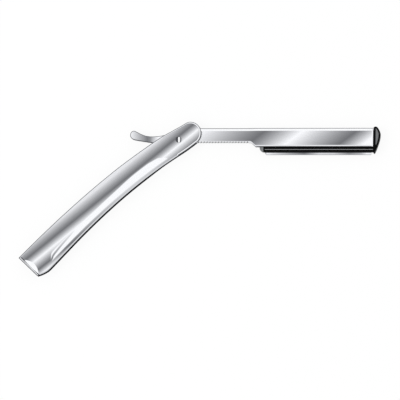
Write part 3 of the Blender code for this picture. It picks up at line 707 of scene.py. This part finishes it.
def arm_stations():
    """The arm's sections: place, lift of the lower edge in a notch, and whether a notch follows."""
    turns = quarter_turn(SMALL_STEPS)[:-1]
    stations = [(TANG_TIP + TANG_ROUND * (1.0 - math.cos(turn)), 0.0, False) for turn in turns]
    for start, end, steps in ARM_STRETCHES:
        stations += [(x, 0.0, False) for x in steps_between(start, end, steps)]
        if end == NOTCH_START - NOTCH_RADIUS:
            for index in range(NOTCH_COUNT):
                centre = (NOTCH_START + NOTCH_PITCH * index, 0.0)
                notch = arc(centre, (NOTCH_RADIUS, NOTCH_RADIUS), 180.0, 0.0, NOTCH_STEPS)
                stations += [(along, lift, True) for along, lift in notch[:-1]]
                stations.append((*notch[-1], False))
    return stations + [(SLEEVE_END, 0.0, False)]


def arm_ring(x, lift):
    """One section of the arm, with a bevelled spine and rounded edges."""
    low, top = arm_span(x)
    low += lift
    shank_half, sleeve_half = SHANK_THICKNESS / 2.0, SLEEVE_THICKNESS / 2.0
    flare_start = SHANK_LENGTH - FLARE_LEAD_SHARE * SHOULDER_LENGTH
    swell = ease((x - flare_start) / ((1.0 + FLARE_LEAD_SHARE) * SHOULDER_LENGTH))
    half = shank_half + (sleeve_half - shank_half) * swell
    upper_radius = min(EDGE_RADIUS, (top - low) * EDGE_MOST_SHARE)
    lower_radius = min(EDGE_RADIUS + (LIP_RADIUS - EDGE_RADIUS) * swell, (top - low) * EDGE_MOST_SHARE)
    crease = min(SPINE_HEIGHT - SPINE_BEVEL_WIDTH, top - CREASE_LEAST_SHARE * (top - low))
    gaps = [1.0 - math.cos(turn) for turn in quarter_turn(CURVE_STEPS)]
    heights = [top - upper_radius * gap for gap in gaps[:-1]]
    heights += steps_between(top - upper_radius, crease, SPINE_STRIP_STEPS)
    heights += steps_between(crease, low + lower_radius, SIDE_STRIP_STEPS)
    heights += [low + lower_radius * gap for gap in reversed(gaps)]
    side = []
    for y in heights:
        bevel = SPINE_BEVEL_DEPTH * max(y - SPINE_HEIGHT + SPINE_BEVEL_WIDTH, 0.0) / SPINE_BEVEL_WIDTH
        rounding = round_off(top - y, upper_radius, upper_radius)
        rounding += round_off(y - low, lower_radius, lower_radius)
        side.append((y, half - bevel - rounding))
    return [(x, y, z) for y, z in mirrored(side)]


def tang_gap(x, y, z):
    """How far a place lies from the arm's upper edge and, along the tang, from its whole outline."""
    if x * MM > TANG_ROOT:
        return SPINE_HEIGHT / MM - y
    place = Vector((x * MM, y * MM))
    nearest = OVERRUN
    for line in TANG:
        for start, end in zip(line, line[1:]):
            start, stretch = Vector(start), Vector(end) - Vector(start)
            share = min(max((place - start).dot(stretch) / stretch.length_squared, 0.0), 1.0)
            nearest = min(nearest, (place - start - stretch * share).length)
    return nearest / MM


def lower_gap(x, y, z):
    """How far a place on the shank or sleeve lies from its lower edge, notches aside."""
    if x * MM < NOTCH_START - NOTCH_RADIUS:
        return OVERRUN / MM
    return y - arm_span(max(x * MM, NOTCH_START))[0] / MM


def build_arm():
    stations = arm_stations()
    half_ring = len(arm_ring(SHANK_LENGTH, 0.0)) // 2

    def slot_of(station, index):
        return 1 if stations[station][2] and index == half_ring - 1 else 0

    rings = [arm_ring(x, lift) for x, lift, _ in stations]
    arm = new_piece("arm_skin", ring_loft(rings, slot_of), ARM_PLACE)
    inner, roof = SLEEVE_INSIDE / 2.0, SPINE_HEIGHT - SHEET
    opening = LIP_OPENING / 2.0
    half_section = [
        (roof, max(inner - SPINE_BEVEL_DEPTH, opening / 2.0)), (SPINE_HEIGHT - SPINE_BEVEL_WIDTH, inner),
        (LIP_TOP, inner), (LIP_TOP, opening), (-SLEEVE_EDGE - OVERRUN, opening),
    ]
    hollow = beam(mirrored(half_section), HOLLOW_START, SLEEVE_END + OVERRUN)
    bore = rod((0.0, 0.0, 0.0), ARM_BORE_RADIUS, SLEEVE_THICKNESS)
    return shaped(arm, SHEET_SHARP, [hollow, bore], rim=tang_gap, low=lower_gap)


# Carrier, cap, blade and rivet

def bridge_steps(reach, top, floor):
    """The steps of an outline down and up again at the two bridges, the farther one first."""
    line = []
    for place in (BLADE_END - BRIDGE_INSET, BLADE_START + BRIDGE_INSET):
        line += [(place + reach, top), (place + reach, floor)]
        line += [(place - reach, floor), (place - reach, top)]
    return line


def build_carrier():
    rail, neck, bar = RAIL_THICKNESS / 2.0, NECK_THICKNESS / 2.0, BAR_THICKNESS / 2.0
    rail_top = SPINE_HEIGHT - SPINE_BEVEL_WIDTH - RUNNING_GAP
    rail_low, bar_top = LIP_TOP + RUNNING_GAP, -SLEEVE_EDGE - RUNNING_GAP
    soft = BAR_SOFT_EDGE
    bead = arc((-BEAD_HEIGHT, bar), (BEAD_WIDTH / 2.0, BEAD_RISE), 0.0, 180.0, CURVE_STEPS)
    chamfer = arc((-BAR_DEPTH + BAR_CHAMFER, bar - BAR_CHAMFER), (BAR_CHAMFER, BAR_CHAMFER),
                  90.0, 180.0, CURVE_STEPS)
    half_section = [
        (rail_top, rail - soft), (rail_top - soft, rail), (rail_low, rail), (rail_low, neck),
        (bar_top, neck), (bar_top, bar - soft), (bar_top - soft, bar), *bead, *chamfer,
    ]
    end = CAP_START + TENON_LENGTH
    body = beam(mirrored(half_section), CARRIER_START, end, OVERRUN)
    carrier = new_piece("carrier_moulding", body, ARM_PLACE)

    face = CAP_START - CAP_FIT
    tenon_middle = (rail_top + rail_low) / 2.0
    tenon_low, tenon_high = tenon_middle - TENON_HALF_HEIGHT, tenon_middle + TENON_HALF_HEIGHT
    nose = arc((CARRIER_START + BAR_NOSE_RADIUS, -BAR_DEPTH + BAR_NOSE_RADIUS),
               (BAR_NOSE_RADIUS, BAR_NOSE_RADIUS), 180.0, 270.0, SMALL_STEPS)
    outline = [
        (CARRIER_START, rail_top + OVERRUN), *nose[:-1], (nose[-1][0], -BAR_DEPTH - OVERRUN),
        (face, -BAR_DEPTH - OVERRUN), (face, tenon_low), (end, tenon_low), (end, tenon_high),
        (face, tenon_high), (face, rail_top + OVERRUN),
    ]
    trim = prism(outline, bar + OVERRUN)

    before, after = CARRIER_START - OVERRUN, CARRIER_START + BAR_NOSE_FACET
    fallen = bar - BAR_NOSE_FALL * (1.0 + OVERRUN / BAR_NOSE_FACET)
    rise = [(before, fallen), (after, bar), (after, bar + OVERRUN), (before, bar + OVERRUN)]
    cutouts = []
    for side in (1.0, -1.0):
        wedge = prism([(along, -side * up) for along, up in rise], BAR_DEPTH / 2.0, XZ_FRAME)
        cutouts.append(moved(wedge, (0.0, bar_top - BAR_DEPTH / 2.0, 0.0)))

    roof, low = -BLADE_TOP + SEAT_GAP, -BAR_DEPTH - OVERRUN
    start, stop = BLADE_START - RUNNING_GAP, BLADE_END + RUNNING_GAP
    bridges = bridge_steps(BRIDGE_LENGTH / 2.0, roof, roof - BRIDGE_HEIGHT)
    outline = [(start, low), (stop, low), (stop, roof), *bridges, (start, roof)]
    cutouts.append(prism(outline, BLADE_SLOT / 2.0))
    return shaped(carrier, SHEET_SHARP, cutouts, trim), tenon_low, tenon_high


def cap_outline(inset):
    """The cap's D-shaped side, drawn in by an inset."""
    points = []
    for along, up in CAP_SHARES:
        side = CAP_TOP if up > 0.0 else CAP_BOTTOM
        points.append((CAP_START + CAP_LENGTH * along, side * up))
    rounded = smooth_line(points, CURVE_STEPS)
    middle = Vector((CAP_START + CAP_LENGTH / 2.0, 0.0))
    shrink = ((CAP_LENGTH - 2.0 * inset) / CAP_LENGTH, (CAP_TOP - 2.0 * inset) / CAP_TOP)
    return [(middle.x + (x - middle.x) * shrink[0], y * shrink[1]) for x, y in rounded]


def cap_panel():
    """The sunk panel in the cap's side, which leaves a border of one width round it."""
    side = [Vector(point) for point in cap_outline(0.0)]
    start = CAP_START + CAP_PANEL_BORDER
    curve = []
    for before, here, after in zip(side, side[1:], side[2:]):
        along = (after - before).normalized()
        x, y = here.x + along.y * CAP_PANEL_BORDER, here.y - along.x * CAP_PANEL_BORDER
        if x > start:
            curve.append((x, y))
    return [(start, curve[0][1]), *curve, (start, curve[-1][1])]


def build_cap(tenon_low, tenon_high):
    """The moulded cap, with a softly rounded edge and a sunk panel on both sides."""
    half = CAP_THICKNESS / 2.0
    levels = [(CAP_EDGE_BEVEL * (1.0 - math.cos(turn)), half - CAP_EDGE_BEVEL * (1.0 - math.sin(turn)))
              for turn in quarter_turn(CURVE_STEPS)]
    upper = [[(x, y, z) for x, y in cap_outline(inset)] for inset, z in levels]
    lower = [[(x, y, -z) for x, y, z in ring] for ring in upper]
    cap = new_piece("thumb_cap", ring_loft(lower[::-1] + upper), ARM_PLACE)
    length = OVERRUN + TENON_LENGTH + RUNNING_GAP
    across = (tenon_high - tenon_low) / 2.0 + RUNNING_GAP
    socket = prism([(0.0, -across), (length, -across), (length, across), (0.0, across)],
                   RAIL_THICKNESS / 2.0 + RUNNING_GAP)
    socket = moved(socket, (CAP_START - OVERRUN, (tenon_low + tenon_high) / 2.0, 0.0))
    sunk = half - CAP_PANEL_DEPTH + OVERRUN / 2.0
    panels = [moved(prism(cap_panel(), OVERRUN / 2.0), (0.0, 0.0, up)) for up in (sunk, -sunk)]
    return shaped(cap, ROUND_SHARP, [socket, *panels])


def build_blade():
    """The single-edged blade, ground towards its edge on both sides."""
    half, edge = BLADE_THICKNESS / 2.0, BLADE_EDGE_THICKNESS / 2.0
    half_section = [(-BLADE_TOP, half), (-BLADE_EDGE + BLADE_GRIND, half), (-BLADE_EDGE, edge)]
    body = beam(mirrored(half_section), BLADE_START, BLADE_END, OVERRUN)
    blade = new_piece("ground_blade", body, ARM_PLACE)
    near, far = BLADE_CORNER, BLADE_CORNER / 2.0
    top = -BLADE_TOP + OVERRUN
    outline = [
        (BLADE_START, top),
        *arc((BLADE_START + near, -BLADE_EDGE + near), (near, near), 180.0, 270.0, SMALL_STEPS),
        *arc((BLADE_END - far, -BLADE_EDGE + far), (far, far), 270.0, 360.0, SMALL_STEPS),
        (BLADE_END, top),
        *bridge_steps(BRIDGE_LENGTH / 2.0 + RUNNING_GAP, top, -BLADE_TOP - BRIDGE_HEIGHT),
    ]
    return shaped(blade, BLADE_SHARP, trim=prism(outline, BLADE_THICKNESS + OVERRUN))


def build_rivet():
    """The turned rivet with a domed head at both ends."""
    seat = PIVOT_CREST - HEAD_RECESS_DEPTH + RUNNING_GAP
    dome = arc((0.0, seat), (RIVET_HEAD_RADIUS, RIVET_HEAD_HEIGHT), DOME_TOP_ANGLE, 0.0, SMALL_STEPS)
    profile = mirrored(dome + [(RIVET_SHANK_RADIUS, seat)])
    rings = [[(x, y, height) for x, y in circle(radius)] for radius, height in profile]
    return shaped(new_piece("domed_rivet", ring_loft(rings), HANDLE_PLACE), ROUND_SHARP)


# Materials

DISPLAY_POWER = 2.2
NOISE_RANGE = (0.3, 0.7)
WHITE = (1.0, 1.0, 1.0, 1.0)
STEEL_TINT = (-0.004, 0.0, 0.014)
STEEL_EDGE = (0.45, 0.45, 0.46, 1.0)
NOTCH_EDGE = (0.08, 0.08, 0.08, 1.0)
STREAK_TONES = (-0.012, 0.012)
PLASTIC_TINT = (0.0, 0.006, 0.012)
PLASTIC_GRAIN_HEIGHT = 0.00001
PLASTIC_GRAIN_TONES = (-0.006, 0.010)
PLASTIC_ROUGHNESS = (0.30, 0.42)
BRASS_TINT = (0.10, 0.0, -0.24)
BRASS_GRAIN_SCALE = 2500.0
BRASS_TONES = (0.72, 0.80)
BRASS_ROUGHNESS = (0.25, 0.35)

# Painted reflection across the handle, by its dark line: (millimetres from the line towards the open
# side, tone)
HANDLE_TONES = ((-6.05, 232), (0.0, 114), (4.1, 252), (9.3, 114), (12.3, 252))
HANDLE_LINE_RISE = 1.62
HANDLE_LINE_SLOPE = -0.0262

# Painted light and shade round the fold, by how far a place lies above or below the middle: (millimetres,
# tone)
FOLD_TONES = ((0.0, 190), (0.45, 225), (0.85, 120), (1.6, 95), (2.7, 85), (4.3, 85))

# Painted reflections on the arm along slanting lines, and on the tang along it: (millimetres, tone)
ARM_TONES = ((3.0, 250), (9.2, 240), (12.0, 229), (43.8, 114), (65.9, 252), (97.1, 115), (111.2, 252))
ARM_LINE_LEAN = -1.33
ARM_LINE_START = 0.66
TANG_TONES = (
    (-28.7, 246), (-24.5, 197), (-20.5, 150), (-18.7, 124), (-17.0, 141), (-15.3, 190), (-13.5, 226),
    (-12.0, 252),
)

# Painted reflection on the blade's strip along it, and painted highlight and shade across the
# rivet's head: (millimetres, tone)
BLADE_TONES = (
    (50.3, 190), (51.4, 247), (55.5, 216), (64.2, 166), (72.9, 121), (81.6, 214), (90.3, 206),
    (99.0, 140), (106.0, 178), (109.4, 242), (112.1, 235),
)
RIVET_TONES = (
    (-1.7, 120), (-1.2, 80), (-0.62, 60), (-0.42, 110), (-0.2, 255), (0.62, 255), (0.78, 200),
    (0.95, 90), (1.2, 90), (1.4, 200), (1.7, 215),
)
RIVET_ACROSS = (0.7606, -0.6492, 0.0)

# Painted highlight along the back, changing along the handle, and painted shade in the butt's
# crease, changing across the butt: from and to, and the tones there
BACK_BAND_SPREAD = (-60.0, -108.0, 0.98, 0.86)
BUTT_CREASE_SPREAD = (1.5, 5.0, 0.60, 0.25)

# The nose's rim is measured only near the nose, and the painted shade ring round a notch is drawn
# in along the arm
NOSE_REGION = (-14.0, -6.0)
NOSE_FAR = 9.0
NOTCH_SQUEEZE = 1.35

# Layers of painted reflection, highlight and shade, painted one over another. Each has its tone from
# 0 to 1, or the measure that gives it, and then its bounds: a measure, its value where the layer is
# whole and its value where it is gone
# Painted highlights: the reflection on the leaf-shaped facet and a light band along the open edge
HANDLE_FACETS = (
    (0.985, ("leaf", 0.30, -0.30)),
    (0.86, ("front", 0.50, 0.65)),
)
# Painted light bands, shade at the butt and its crease, the lens's reflection and dark edge lines
HANDLE_LINES = (
    (0.97, ("nose", 0.86, 0.96)),
    (0.34, ("butt", 1.35, 1.50)),
    (0.99, ("lens", 0.10, -0.10)),
    ("crease_tone", ("butt", 1.12, 1.24)),
    (0.97, ("butt", 0.84, 0.94)),
    ("band_tone", ("back", 0.85, 1.0)),
    ("fold_tone", ("back", 0.44, 0.56)),
    (0.30, ("front", -0.04, 0.02)),
    (0.42, ("nose", 0.28, 0.40)),
    (0.34, ("butt", 0.42, 0.52)),
)
NOTCH_ZONE = (NOTCH_START / MM - 0.7, NOTCH_ZONE_END / MM + 0.3)
# Painted reflection on the shank, highlights on spine, lip and sleeve end, shade at lip and notches
ARM_LAYERS = (
    ("shank_tone", ("along", 1.0, -1.0)),
    (0.99, ("up", 5.52, 5.38), ("along", 2.0, 0.0)),
    (0.91, ("low", 0.86, 1.02)),
    (1.0, ("low", 0.04, 0.14)),
    (0.42, ("low", 0.22, 0.34), ("along", 46.0, 42.0)),
    (0.02, ("notch", 0.16, 0.24), ("along", NOTCH_ZONE[0], NOTCH_ZONE[0] - 0.08),
     ("along", NOTCH_ZONE[1], NOTCH_ZONE[1] + 0.08)),
    (0.97, ("along", 112.3, 112.1)),
    (0.38, ("rim", 0.28, 0.40)),
)
# Painted shade along the blade's ground edge
BLADE_LINE = (0.62, ("up", -8.30, -8.15))
BEAD = -BEAD_HEIGHT / MM
BAR_BLACK = 0.01
# Painted highlights: a grey line on the bead's ridge and the facet at the bar's nose
BAR_LAYERS = (
    (0.62, ("up", BEAD - 0.03, BEAD - 0.11), ("up", BEAD + 0.17, BEAD + 0.25),
     ("along", 50.20, 50.12), ("along", 112.80, 112.88), ("height", 1.50, 1.42)),
    (0.46, ("along", 49.15, 49.35)),
)
PANEL_START = (CAP_START + CAP_PANEL_BORDER) / MM
PANEL_FLOOR = (CAP_THICKNESS / 2.0 - CAP_PANEL_DEPTH) / MM
CAP_BLACK = 0.02
# A painted reflection on the floor of the cap's sunk panel
CAP_LAYERS = (
    (0.435, ("along", PANEL_START + 0.3, PANEL_START + 0.1), ("up", -2.5, -3.1),
     ("height", PANEL_FLOOR - 0.10, PANEL_FLOOR - 0.18),
     ("height", PANEL_FLOOR + 0.03, PANEL_FLOOR + 0.11)),
)

# Shades that leave a share of the tone under them, and then their bounds
NOSE_SHADE = (0.82, ("nose", 0.98, 0.90), ("nose", 1.15, 1.23))
BAR_SHADE = (0.50, ("up", -7.18, -7.32))


class Nodes:
    """The nodes of a material or world, added one at a time. A socket's value may be an output."""

    def __init__(self, owner):
        owner.use_nodes = True
        self.tree = owner.node_tree

    def feed(self, node, sockets):
        for key, value in sockets.items():
            if isinstance(value, bpy.types.NodeSocket):
                self.tree.links.new(value, node.inputs[key])
            else:
                node.inputs[key].default_value = value

    def add(self, kind, sockets=(), **settings):
        """Adds a node with its settings and sockets, and returns its outputs."""
        node = self.tree.nodes.new(kind)
        for key, value in settings.items():
            setattr(node, key, value)
        self.feed(node, dict(sockets))
        return node.outputs

    def work(self, operation, first, second=0.0, clamp=False):
        return self.add("ShaderNodeMath", {0: first, 1: second}, operation=operation, use_clamp=clamp)[0]

    def spread(self, value, low, high, start=0.0, end=1.0):
        """Maps low to high onto start to end, held at both ends."""
        return self.add("ShaderNodeMapRange", {
            "Value": value, "From Min": low, "From Max": high, "To Min": start, "To Max": end,
        })["Result"]

    def vary(self, noise, low, high):
        """Maps a noise's usual range onto low to high."""
        return self.spread(noise, *NOISE_RANGE, low, high)


class Finish(Nodes):
    """A material with a tone, a display value from 0 to 1 that its base colour is made from."""

    def __init__(self, name):
        self.material = bpy.data.materials.new(name)
        super().__init__(self.material)
        self.shader = self.tree.nodes["Principled BSDF"]
        self.tone = 0.0

    def coat(self, tint, sockets):
        """Feeds the shader the tone with a tint as its base colour, and its other sockets."""
        shown = [self.work("ADD", self.tone, shift, clamp=True) for shift in tint]
        primaries = {index: self.work("POWER", tone, DISPLAY_POWER) for index, tone in enumerate(shown)}
        colour = self.add("ShaderNodeCombineColor", primaries)[0]
        self.feed(self.shader, {"Base Color": colour, **sockets})
        return self


class Skin(Finish):
    """The finish of a piece built here. Its tone, painted light and shade, is painted in layers, by
    measures.
    """

    def __init__(self, name, *stored):
        super().__init__(name)
        self.place = self.add("ShaderNodeAttribute", attribute_name="place")["Vector"]
        self.along, self.up, height = self.add("ShaderNodeSeparateXYZ", {"Vector": self.place})
        self.measures = {"along": self.along, "up": self.up, "height": self.work("ABSOLUTE", height)}
        for key in stored:
            self.measures[key] = self.add("ShaderNodeAttribute", attribute_name=key)["Fac"]

    def dot(self, direction):
        """How far the place lies in a direction."""
        sockets = {0: self.place, 1: direction}
        return self.add("ShaderNodeVectorMath", sockets, operation="DOT_PRODUCT")["Value"]

    def mix(self, share, first, second):
        return self.add("ShaderNodeMix", {0: share, 2: first, 3: second}, data_type="FLOAT")[0]

    def ramp(self, value, stops):
        """A tone from (measure, tone out of 255) stops, straight between them."""
        low, high = stops[0][0], stops[-1][0]
        tones = self.add("ShaderNodeValToRGB", {"Fac": self.spread(value, low, high)})["Color"]
        points = tones.node.color_ramp.elements
        while len(points) < len(stops):
            points.new(1.0)
        for point, (measure, tone) in zip(points, stops):
            point.position = (measure - low) / (high - low)
            point.color = (tone / 255.0, tone / 255.0, tone / 255.0, 1.0)
        return tones

    def noise(self, scale, detail, stretch=(1.0, 1.0, 1.0)):
        """Noise over the place, with its scale in features per millimetre."""
        vector = self.add("ShaderNodeMapping", {"Vector": self.place, "Scale": stretch})[0]
        return self.add("ShaderNodeTexNoise", {"Vector": vector, "Scale": scale, "Detail": detail})["Fac"]

    def cover(self, tone, *bounds):
        """Paints a tone over the ones before it, within its bounds."""
        share = 1.0
        for key, whole, gone in bounds:
            fade = self.spread(self.measures[key], whole, gone, 1.0, 0.0)
            share = self.work("MULTIPLY", share, fade)
        self.tone = self.mix(share, self.tone, tone)

    def shade(self, share, *bounds):
        """Leaves a share of the tone within bounds."""
        self.cover(self.work("MULTIPLY", self.tone, share), *bounds)

    def paint(self, layers):
        for tone, *bounds in layers:
            self.cover(self.measures.get(tone, tone), *bounds)


def use(piece, *finishes):
    """Gives a piece its materials. Clearing the old ones resets each face's slot, so that is kept."""
    slots = [face.material_index for face in piece.data.polygons]
    piece.data.materials.clear()
    for finish in finishes:
        piece.data.materials.append(finish.material)
    for face, slot in zip(piece.data.polygons, slots):
        face.material_index = min(slot, len(finishes) - 1)


def polish(skin, roughness, grain):
    """Ends a steel: fine streaks in its tone and roughness, by a grain that noise takes."""
    streaks = skin.noise(*grain)
    skin.tone = skin.work("ADD", skin.tone, skin.vary(streaks, *STREAK_TONES), clamp=True)
    return skin.coat(STEEL_TINT, {
        "Metallic": 1.0, "Specular Tint": STEEL_EDGE, "Roughness": skin.vary(streaks, *roughness),
    })


def handle_steel():
    skin = Skin("polished_handle_steel", "back", "front", "leaf", "lens", "nose", "butt")
    across = skin.work("SUBTRACT", HANDLE_LINE_RISE, skin.dot((-HANDLE_LINE_SLOPE, 1.0, 0.0)))
    ahead = skin.spread(skin.along, *NOSE_REGION)
    aside = skin.work("ABSOLUTE", skin.work("SUBTRACT", skin.up, LENS_MIDDLE / MM))
    skin.measures.update(
        nose=skin.mix(ahead, NOSE_FAR, skin.measures["nose"]),
        crease_tone=skin.spread(aside, *BUTT_CREASE_SPREAD),
        band_tone=skin.spread(skin.along, *BACK_BAND_SPREAD),
        fold_tone=skin.ramp(skin.measures["height"], FOLD_TONES),
    )
    # Painted reflection across the handle, with painted highlights and shade over it
    skin.tone = skin.ramp(across, HANDLE_TONES)
    skin.paint(HANDLE_FACETS)
    skin.shade(*NOSE_SHADE)
    skin.paint(HANDLE_LINES)
    return polish(skin, roughness=(0.20, 0.28), grain=(0.6, 3.0, (0.35, 9.0, 1.0)))


def arm_steel():
    skin = Skin("polished_arm_steel", "low", "rim")
    slanted = skin.work("ADD", skin.dot((1.0, ARM_LINE_LEAN, 0.0)), ARM_LINE_START)
    # The measure for a painted shade ring round each notch
    ripple = skin.work("SUBTRACT", skin.along, NOTCH_START / MM)
    ripple = skin.work("PINGPONG", ripple, NOTCH_PITCH / MM / 2.0)
    ripple = skin.work("MULTIPLY", ripple, NOTCH_SQUEEZE)
    depth = skin.work("ADD", skin.up, SHANK_EDGE / MM)
    squares = [skin.work("MULTIPLY", part, part) for part in (ripple, depth)]
    ring = skin.work("SQRT", skin.work("ADD", *squares))
    skin.measures.update(
        shank_tone=skin.ramp(slanted, ARM_TONES),
        notch=skin.work("SUBTRACT", ring, NOTCH_RADIUS / MM),
    )
    # Painted reflection along the tang, under the arm's painted reflection, highlights and shade
    skin.tone = skin.ramp(skin.along, TANG_TONES)
    skin.paint(ARM_LAYERS)
    return polish(skin, roughness=(0.18, 0.26), grain=(0.7, 3.0, (0.3, 8.0, 1.0)))


def dark_steel(name, tones, grain, sockets):
    """Steel painted dark for the shade it lies in: the walls of the notches and the inside of the handle.
    """
    skin = Skin(name)
    skin.tone = skin.vary(skin.noise(*grain), *tones)
    return skin.coat(STEEL_TINT, {"Metallic": 1.0, **sockets})


def blade_steel():
    skin = Skin("ground_blade_steel")
    # Painted reflection along the blade, painted shade under the bar and along the edge
    skin.tone = skin.ramp(skin.along, BLADE_TONES)
    skin.shade(*BAR_SHADE)
    skin.cover(*BLADE_LINE)
    return polish(skin, roughness=(0.18, 0.28), grain=(1.2, 3.0, (0.2, 6.0, 1.0)))


def rivet_steel():
    skin = Skin("domed_rivet_steel")
    # A painted highlight between dark crescents, for the light on the domed head
    skin.tone = skin.ramp(skin.dot(RIVET_ACROSS), RIVET_TONES)
    return polish(skin, roughness=(0.16, 0.24), grain=(2.0, 2.0))


def moulded_plastic(name, black, layers):
    """Black moulded plastic with a fine grain, and painted highlights from its layers."""
    skin = Skin(name)
    skin.tone = black
    skin.paint(layers)
    grain = skin.noise(scale=6.0, detail=2.0)
    skin.tone = skin.work("ADD", skin.tone, skin.vary(grain, *PLASTIC_GRAIN_TONES), clamp=True)
    bump = skin.add("ShaderNodeBump", {"Distance": PLASTIC_GRAIN_HEIGHT, "Height": grain})[0]
    return skin.coat(PLASTIC_TINT, {
        "Specular IOR Level": 0.06, "Roughness": skin.vary(grain, *PLASTIC_ROUGHNESS), "Normal": bump,
    })


def bearing_brass():
    finish = Finish("turned_brass")
    place = finish.add("ShaderNodeTexCoord")["Object"]
    sockets = {"Vector": place, "Scale": BRASS_GRAIN_SCALE, "Detail": 3.0}
    grain = finish.add("ShaderNodeTexNoise", sockets)["Fac"]
    finish.tone = finish.vary(grain, *BRASS_TONES)
    return finish.coat(BRASS_TINT, {"Metallic": 1.0, "Roughness": finish.vary(grain, *BRASS_ROUGHNESS)})


# Camera, floor and light

CAMERA_LENS = 400.0
CAMERA_ELEVATION = math.radians(80.0)
CAMERA_ROLL = math.radians(40.43)
VIEW_WIDTH = 0.232
VIEW_CENTRE = Vector(HINGE["pos_m"]) + Vector((-0.013273, -0.034582, 0.0))
FLOOR_SIZE = 4.0
FLOOR_COLOUR = (0.9, 0.9, 0.9, 1.0)
FLOOR_GLOW = 0.90
SKY = ((0.10, (0.70, 0.71, 0.72, 1.0)), (0.55, WHITE))
LAMP_PLACE = (-0.45, 0.30, 0.80)
LAMP_SIZE = 0.5
LAMP_POWER = 2.0


def add_camera():
    data = bpy.data.cameras.new("camera")
    data.lens = CAMERA_LENS
    camera = bpy.data.objects.new("camera", data)
    bpy.context.scene.collection.objects.link(camera)
    distance = VIEW_WIDTH * CAMERA_LENS / data.sensor_width
    tip = Matrix.Rotation(math.radians(90.0) - CAMERA_ELEVATION, 4, "X")
    roll = Matrix.Rotation(-CAMERA_ROLL, 4, "Z")
    camera.matrix_world = (Matrix.Translation(VIEW_CENTRE) @ tip @ roll
                           @ Matrix.Translation((0.0, 0.0, distance)))
    bpy.context.scene.camera = camera


def add_floor():
    shape = bmesh.new()
    bmesh.ops.create_grid(shape, x_segments=1, y_segments=1, size=FLOOR_SIZE)
    floor = new_piece("floor", shape, Matrix.Identity(4))
    finish = Finish("white_floor")
    finish.feed(finish.shader, {"Base Color": FLOOR_COLOUR, "Roughness": 1.0, "Specular IOR Level": 0.0})
    path = finish.add("ShaderNodeLightPath")
    seen = finish.work("MAXIMUM", path["Is Camera Ray"], path["Is Glossy Ray"])
    glow = finish.add("ShaderNodeEmission")[0]
    shaders = {0: finish.work("MULTIPLY", seen, FLOOR_GLOW), 1: finish.shader.outputs[0], 2: glow}
    blend = finish.add("ShaderNodeMixShader", shaders)[0]
    finish.feed(finish.tree.nodes["Material Output"], {"Surface": blend})
    use(floor, finish)


def add_light():
    """A plain white world, a little darker near the horizon in reflections, and one soft lamp."""
    world = bpy.data.worlds.new("studio")
    bpy.context.scene.world = world
    nodes = Nodes(world)
    direction = nodes.add("ShaderNodeTexCoord")["Generated"]
    height = nodes.add("ShaderNodeSeparateXYZ", {0: direction})["Z"]
    sky = nodes.add("ShaderNodeValToRGB", {"Fac": height})["Color"]
    for point, (place, colour) in zip(sky.node.color_ramp.elements, SKY):
        point.position = place
        point.color = colour
    seen = nodes.add("ShaderNodeLightPath")["Is Camera Ray"]
    blend = nodes.add("ShaderNodeMix", {0: seen, 6: sky, 7: WHITE}, data_type="RGBA")[2]
    nodes.feed(nodes.tree.nodes["Background"], {"Color": blend, "Strength": 1.0})

    data = bpy.data.lights.new("softbox", "AREA")
    data.shape = "DISK"
    data.size = LAMP_SIZE
    data.energy = LAMP_POWER
    lamp = bpy.data.objects.new("softbox", data)
    bpy.context.scene.collection.objects.link(lamp)
    lamp.location = LAMP_PLACE
    lamp.rotation_euler = (VIEW_CENTRE - lamp.location).to_track_quat("-Z", "Y").to_euler()
    lamp.visible_glossy = False


def dress(piece, body, node, slot, *finishes):
    """Puts a piece's place in its mesh, gives it materials and a body, and hides its CAD node. Slot is
    unused.
    """
    piece.data.transform(piece.matrix_world)
    piece.matrix_world = Matrix.Identity(4)
    use(piece, *finishes)
    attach(piece, body)
    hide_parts(node)


NOSE = nose_ellipse()
TANG = tang_lines()
bpy.context.scene.view_settings.view_transform = "Standard"
add_camera()
add_floor()
add_light()

# Painted shade for the inside of the handle and the walls of the notches
inside = dark_steel("inside_of_sheet", tones=(0.21, 0.26), grain=(0.8, 3.0), sockets={"Roughness": 0.45})
shaded = dark_steel("notch_walls", tones=(0.02, 0.04), grain=(1.5, 2.0),
                    sockets={"Specular Tint": NOTCH_EDGE, "Roughness": 0.40})
dress(build_handle(), "handle", "handle_shell", "polished_steel", handle_steel(), inside)
dress(build_rivet(), "handle", "pivot_rivet", "arm_steel", rivet_steel())
dress(build_arm(), "arm", "blade_arm", "arm_steel", arm_steel(), shaded)
carrier, *tenon = build_carrier()
dress(carrier, "carrier", "blade_carrier", "black_plastic",
      moulded_plastic("carrier_plastic", BAR_BLACK, BAR_LAYERS))
dress(build_cap(*tenon), "carrier", "carrier_cap", "black_plastic",
      moulded_plastic("cap_plastic", CAP_BLACK, CAP_LAYERS))
dress(build_blade(), "carrier", "razor_blade", "blade_steel", blade_steel())
brass = bearing_brass()
for node in ("pivot_bush", "pivot_washer_upper", "pivot_washer_lower"):
    use(frame["nodes"][node], brass)
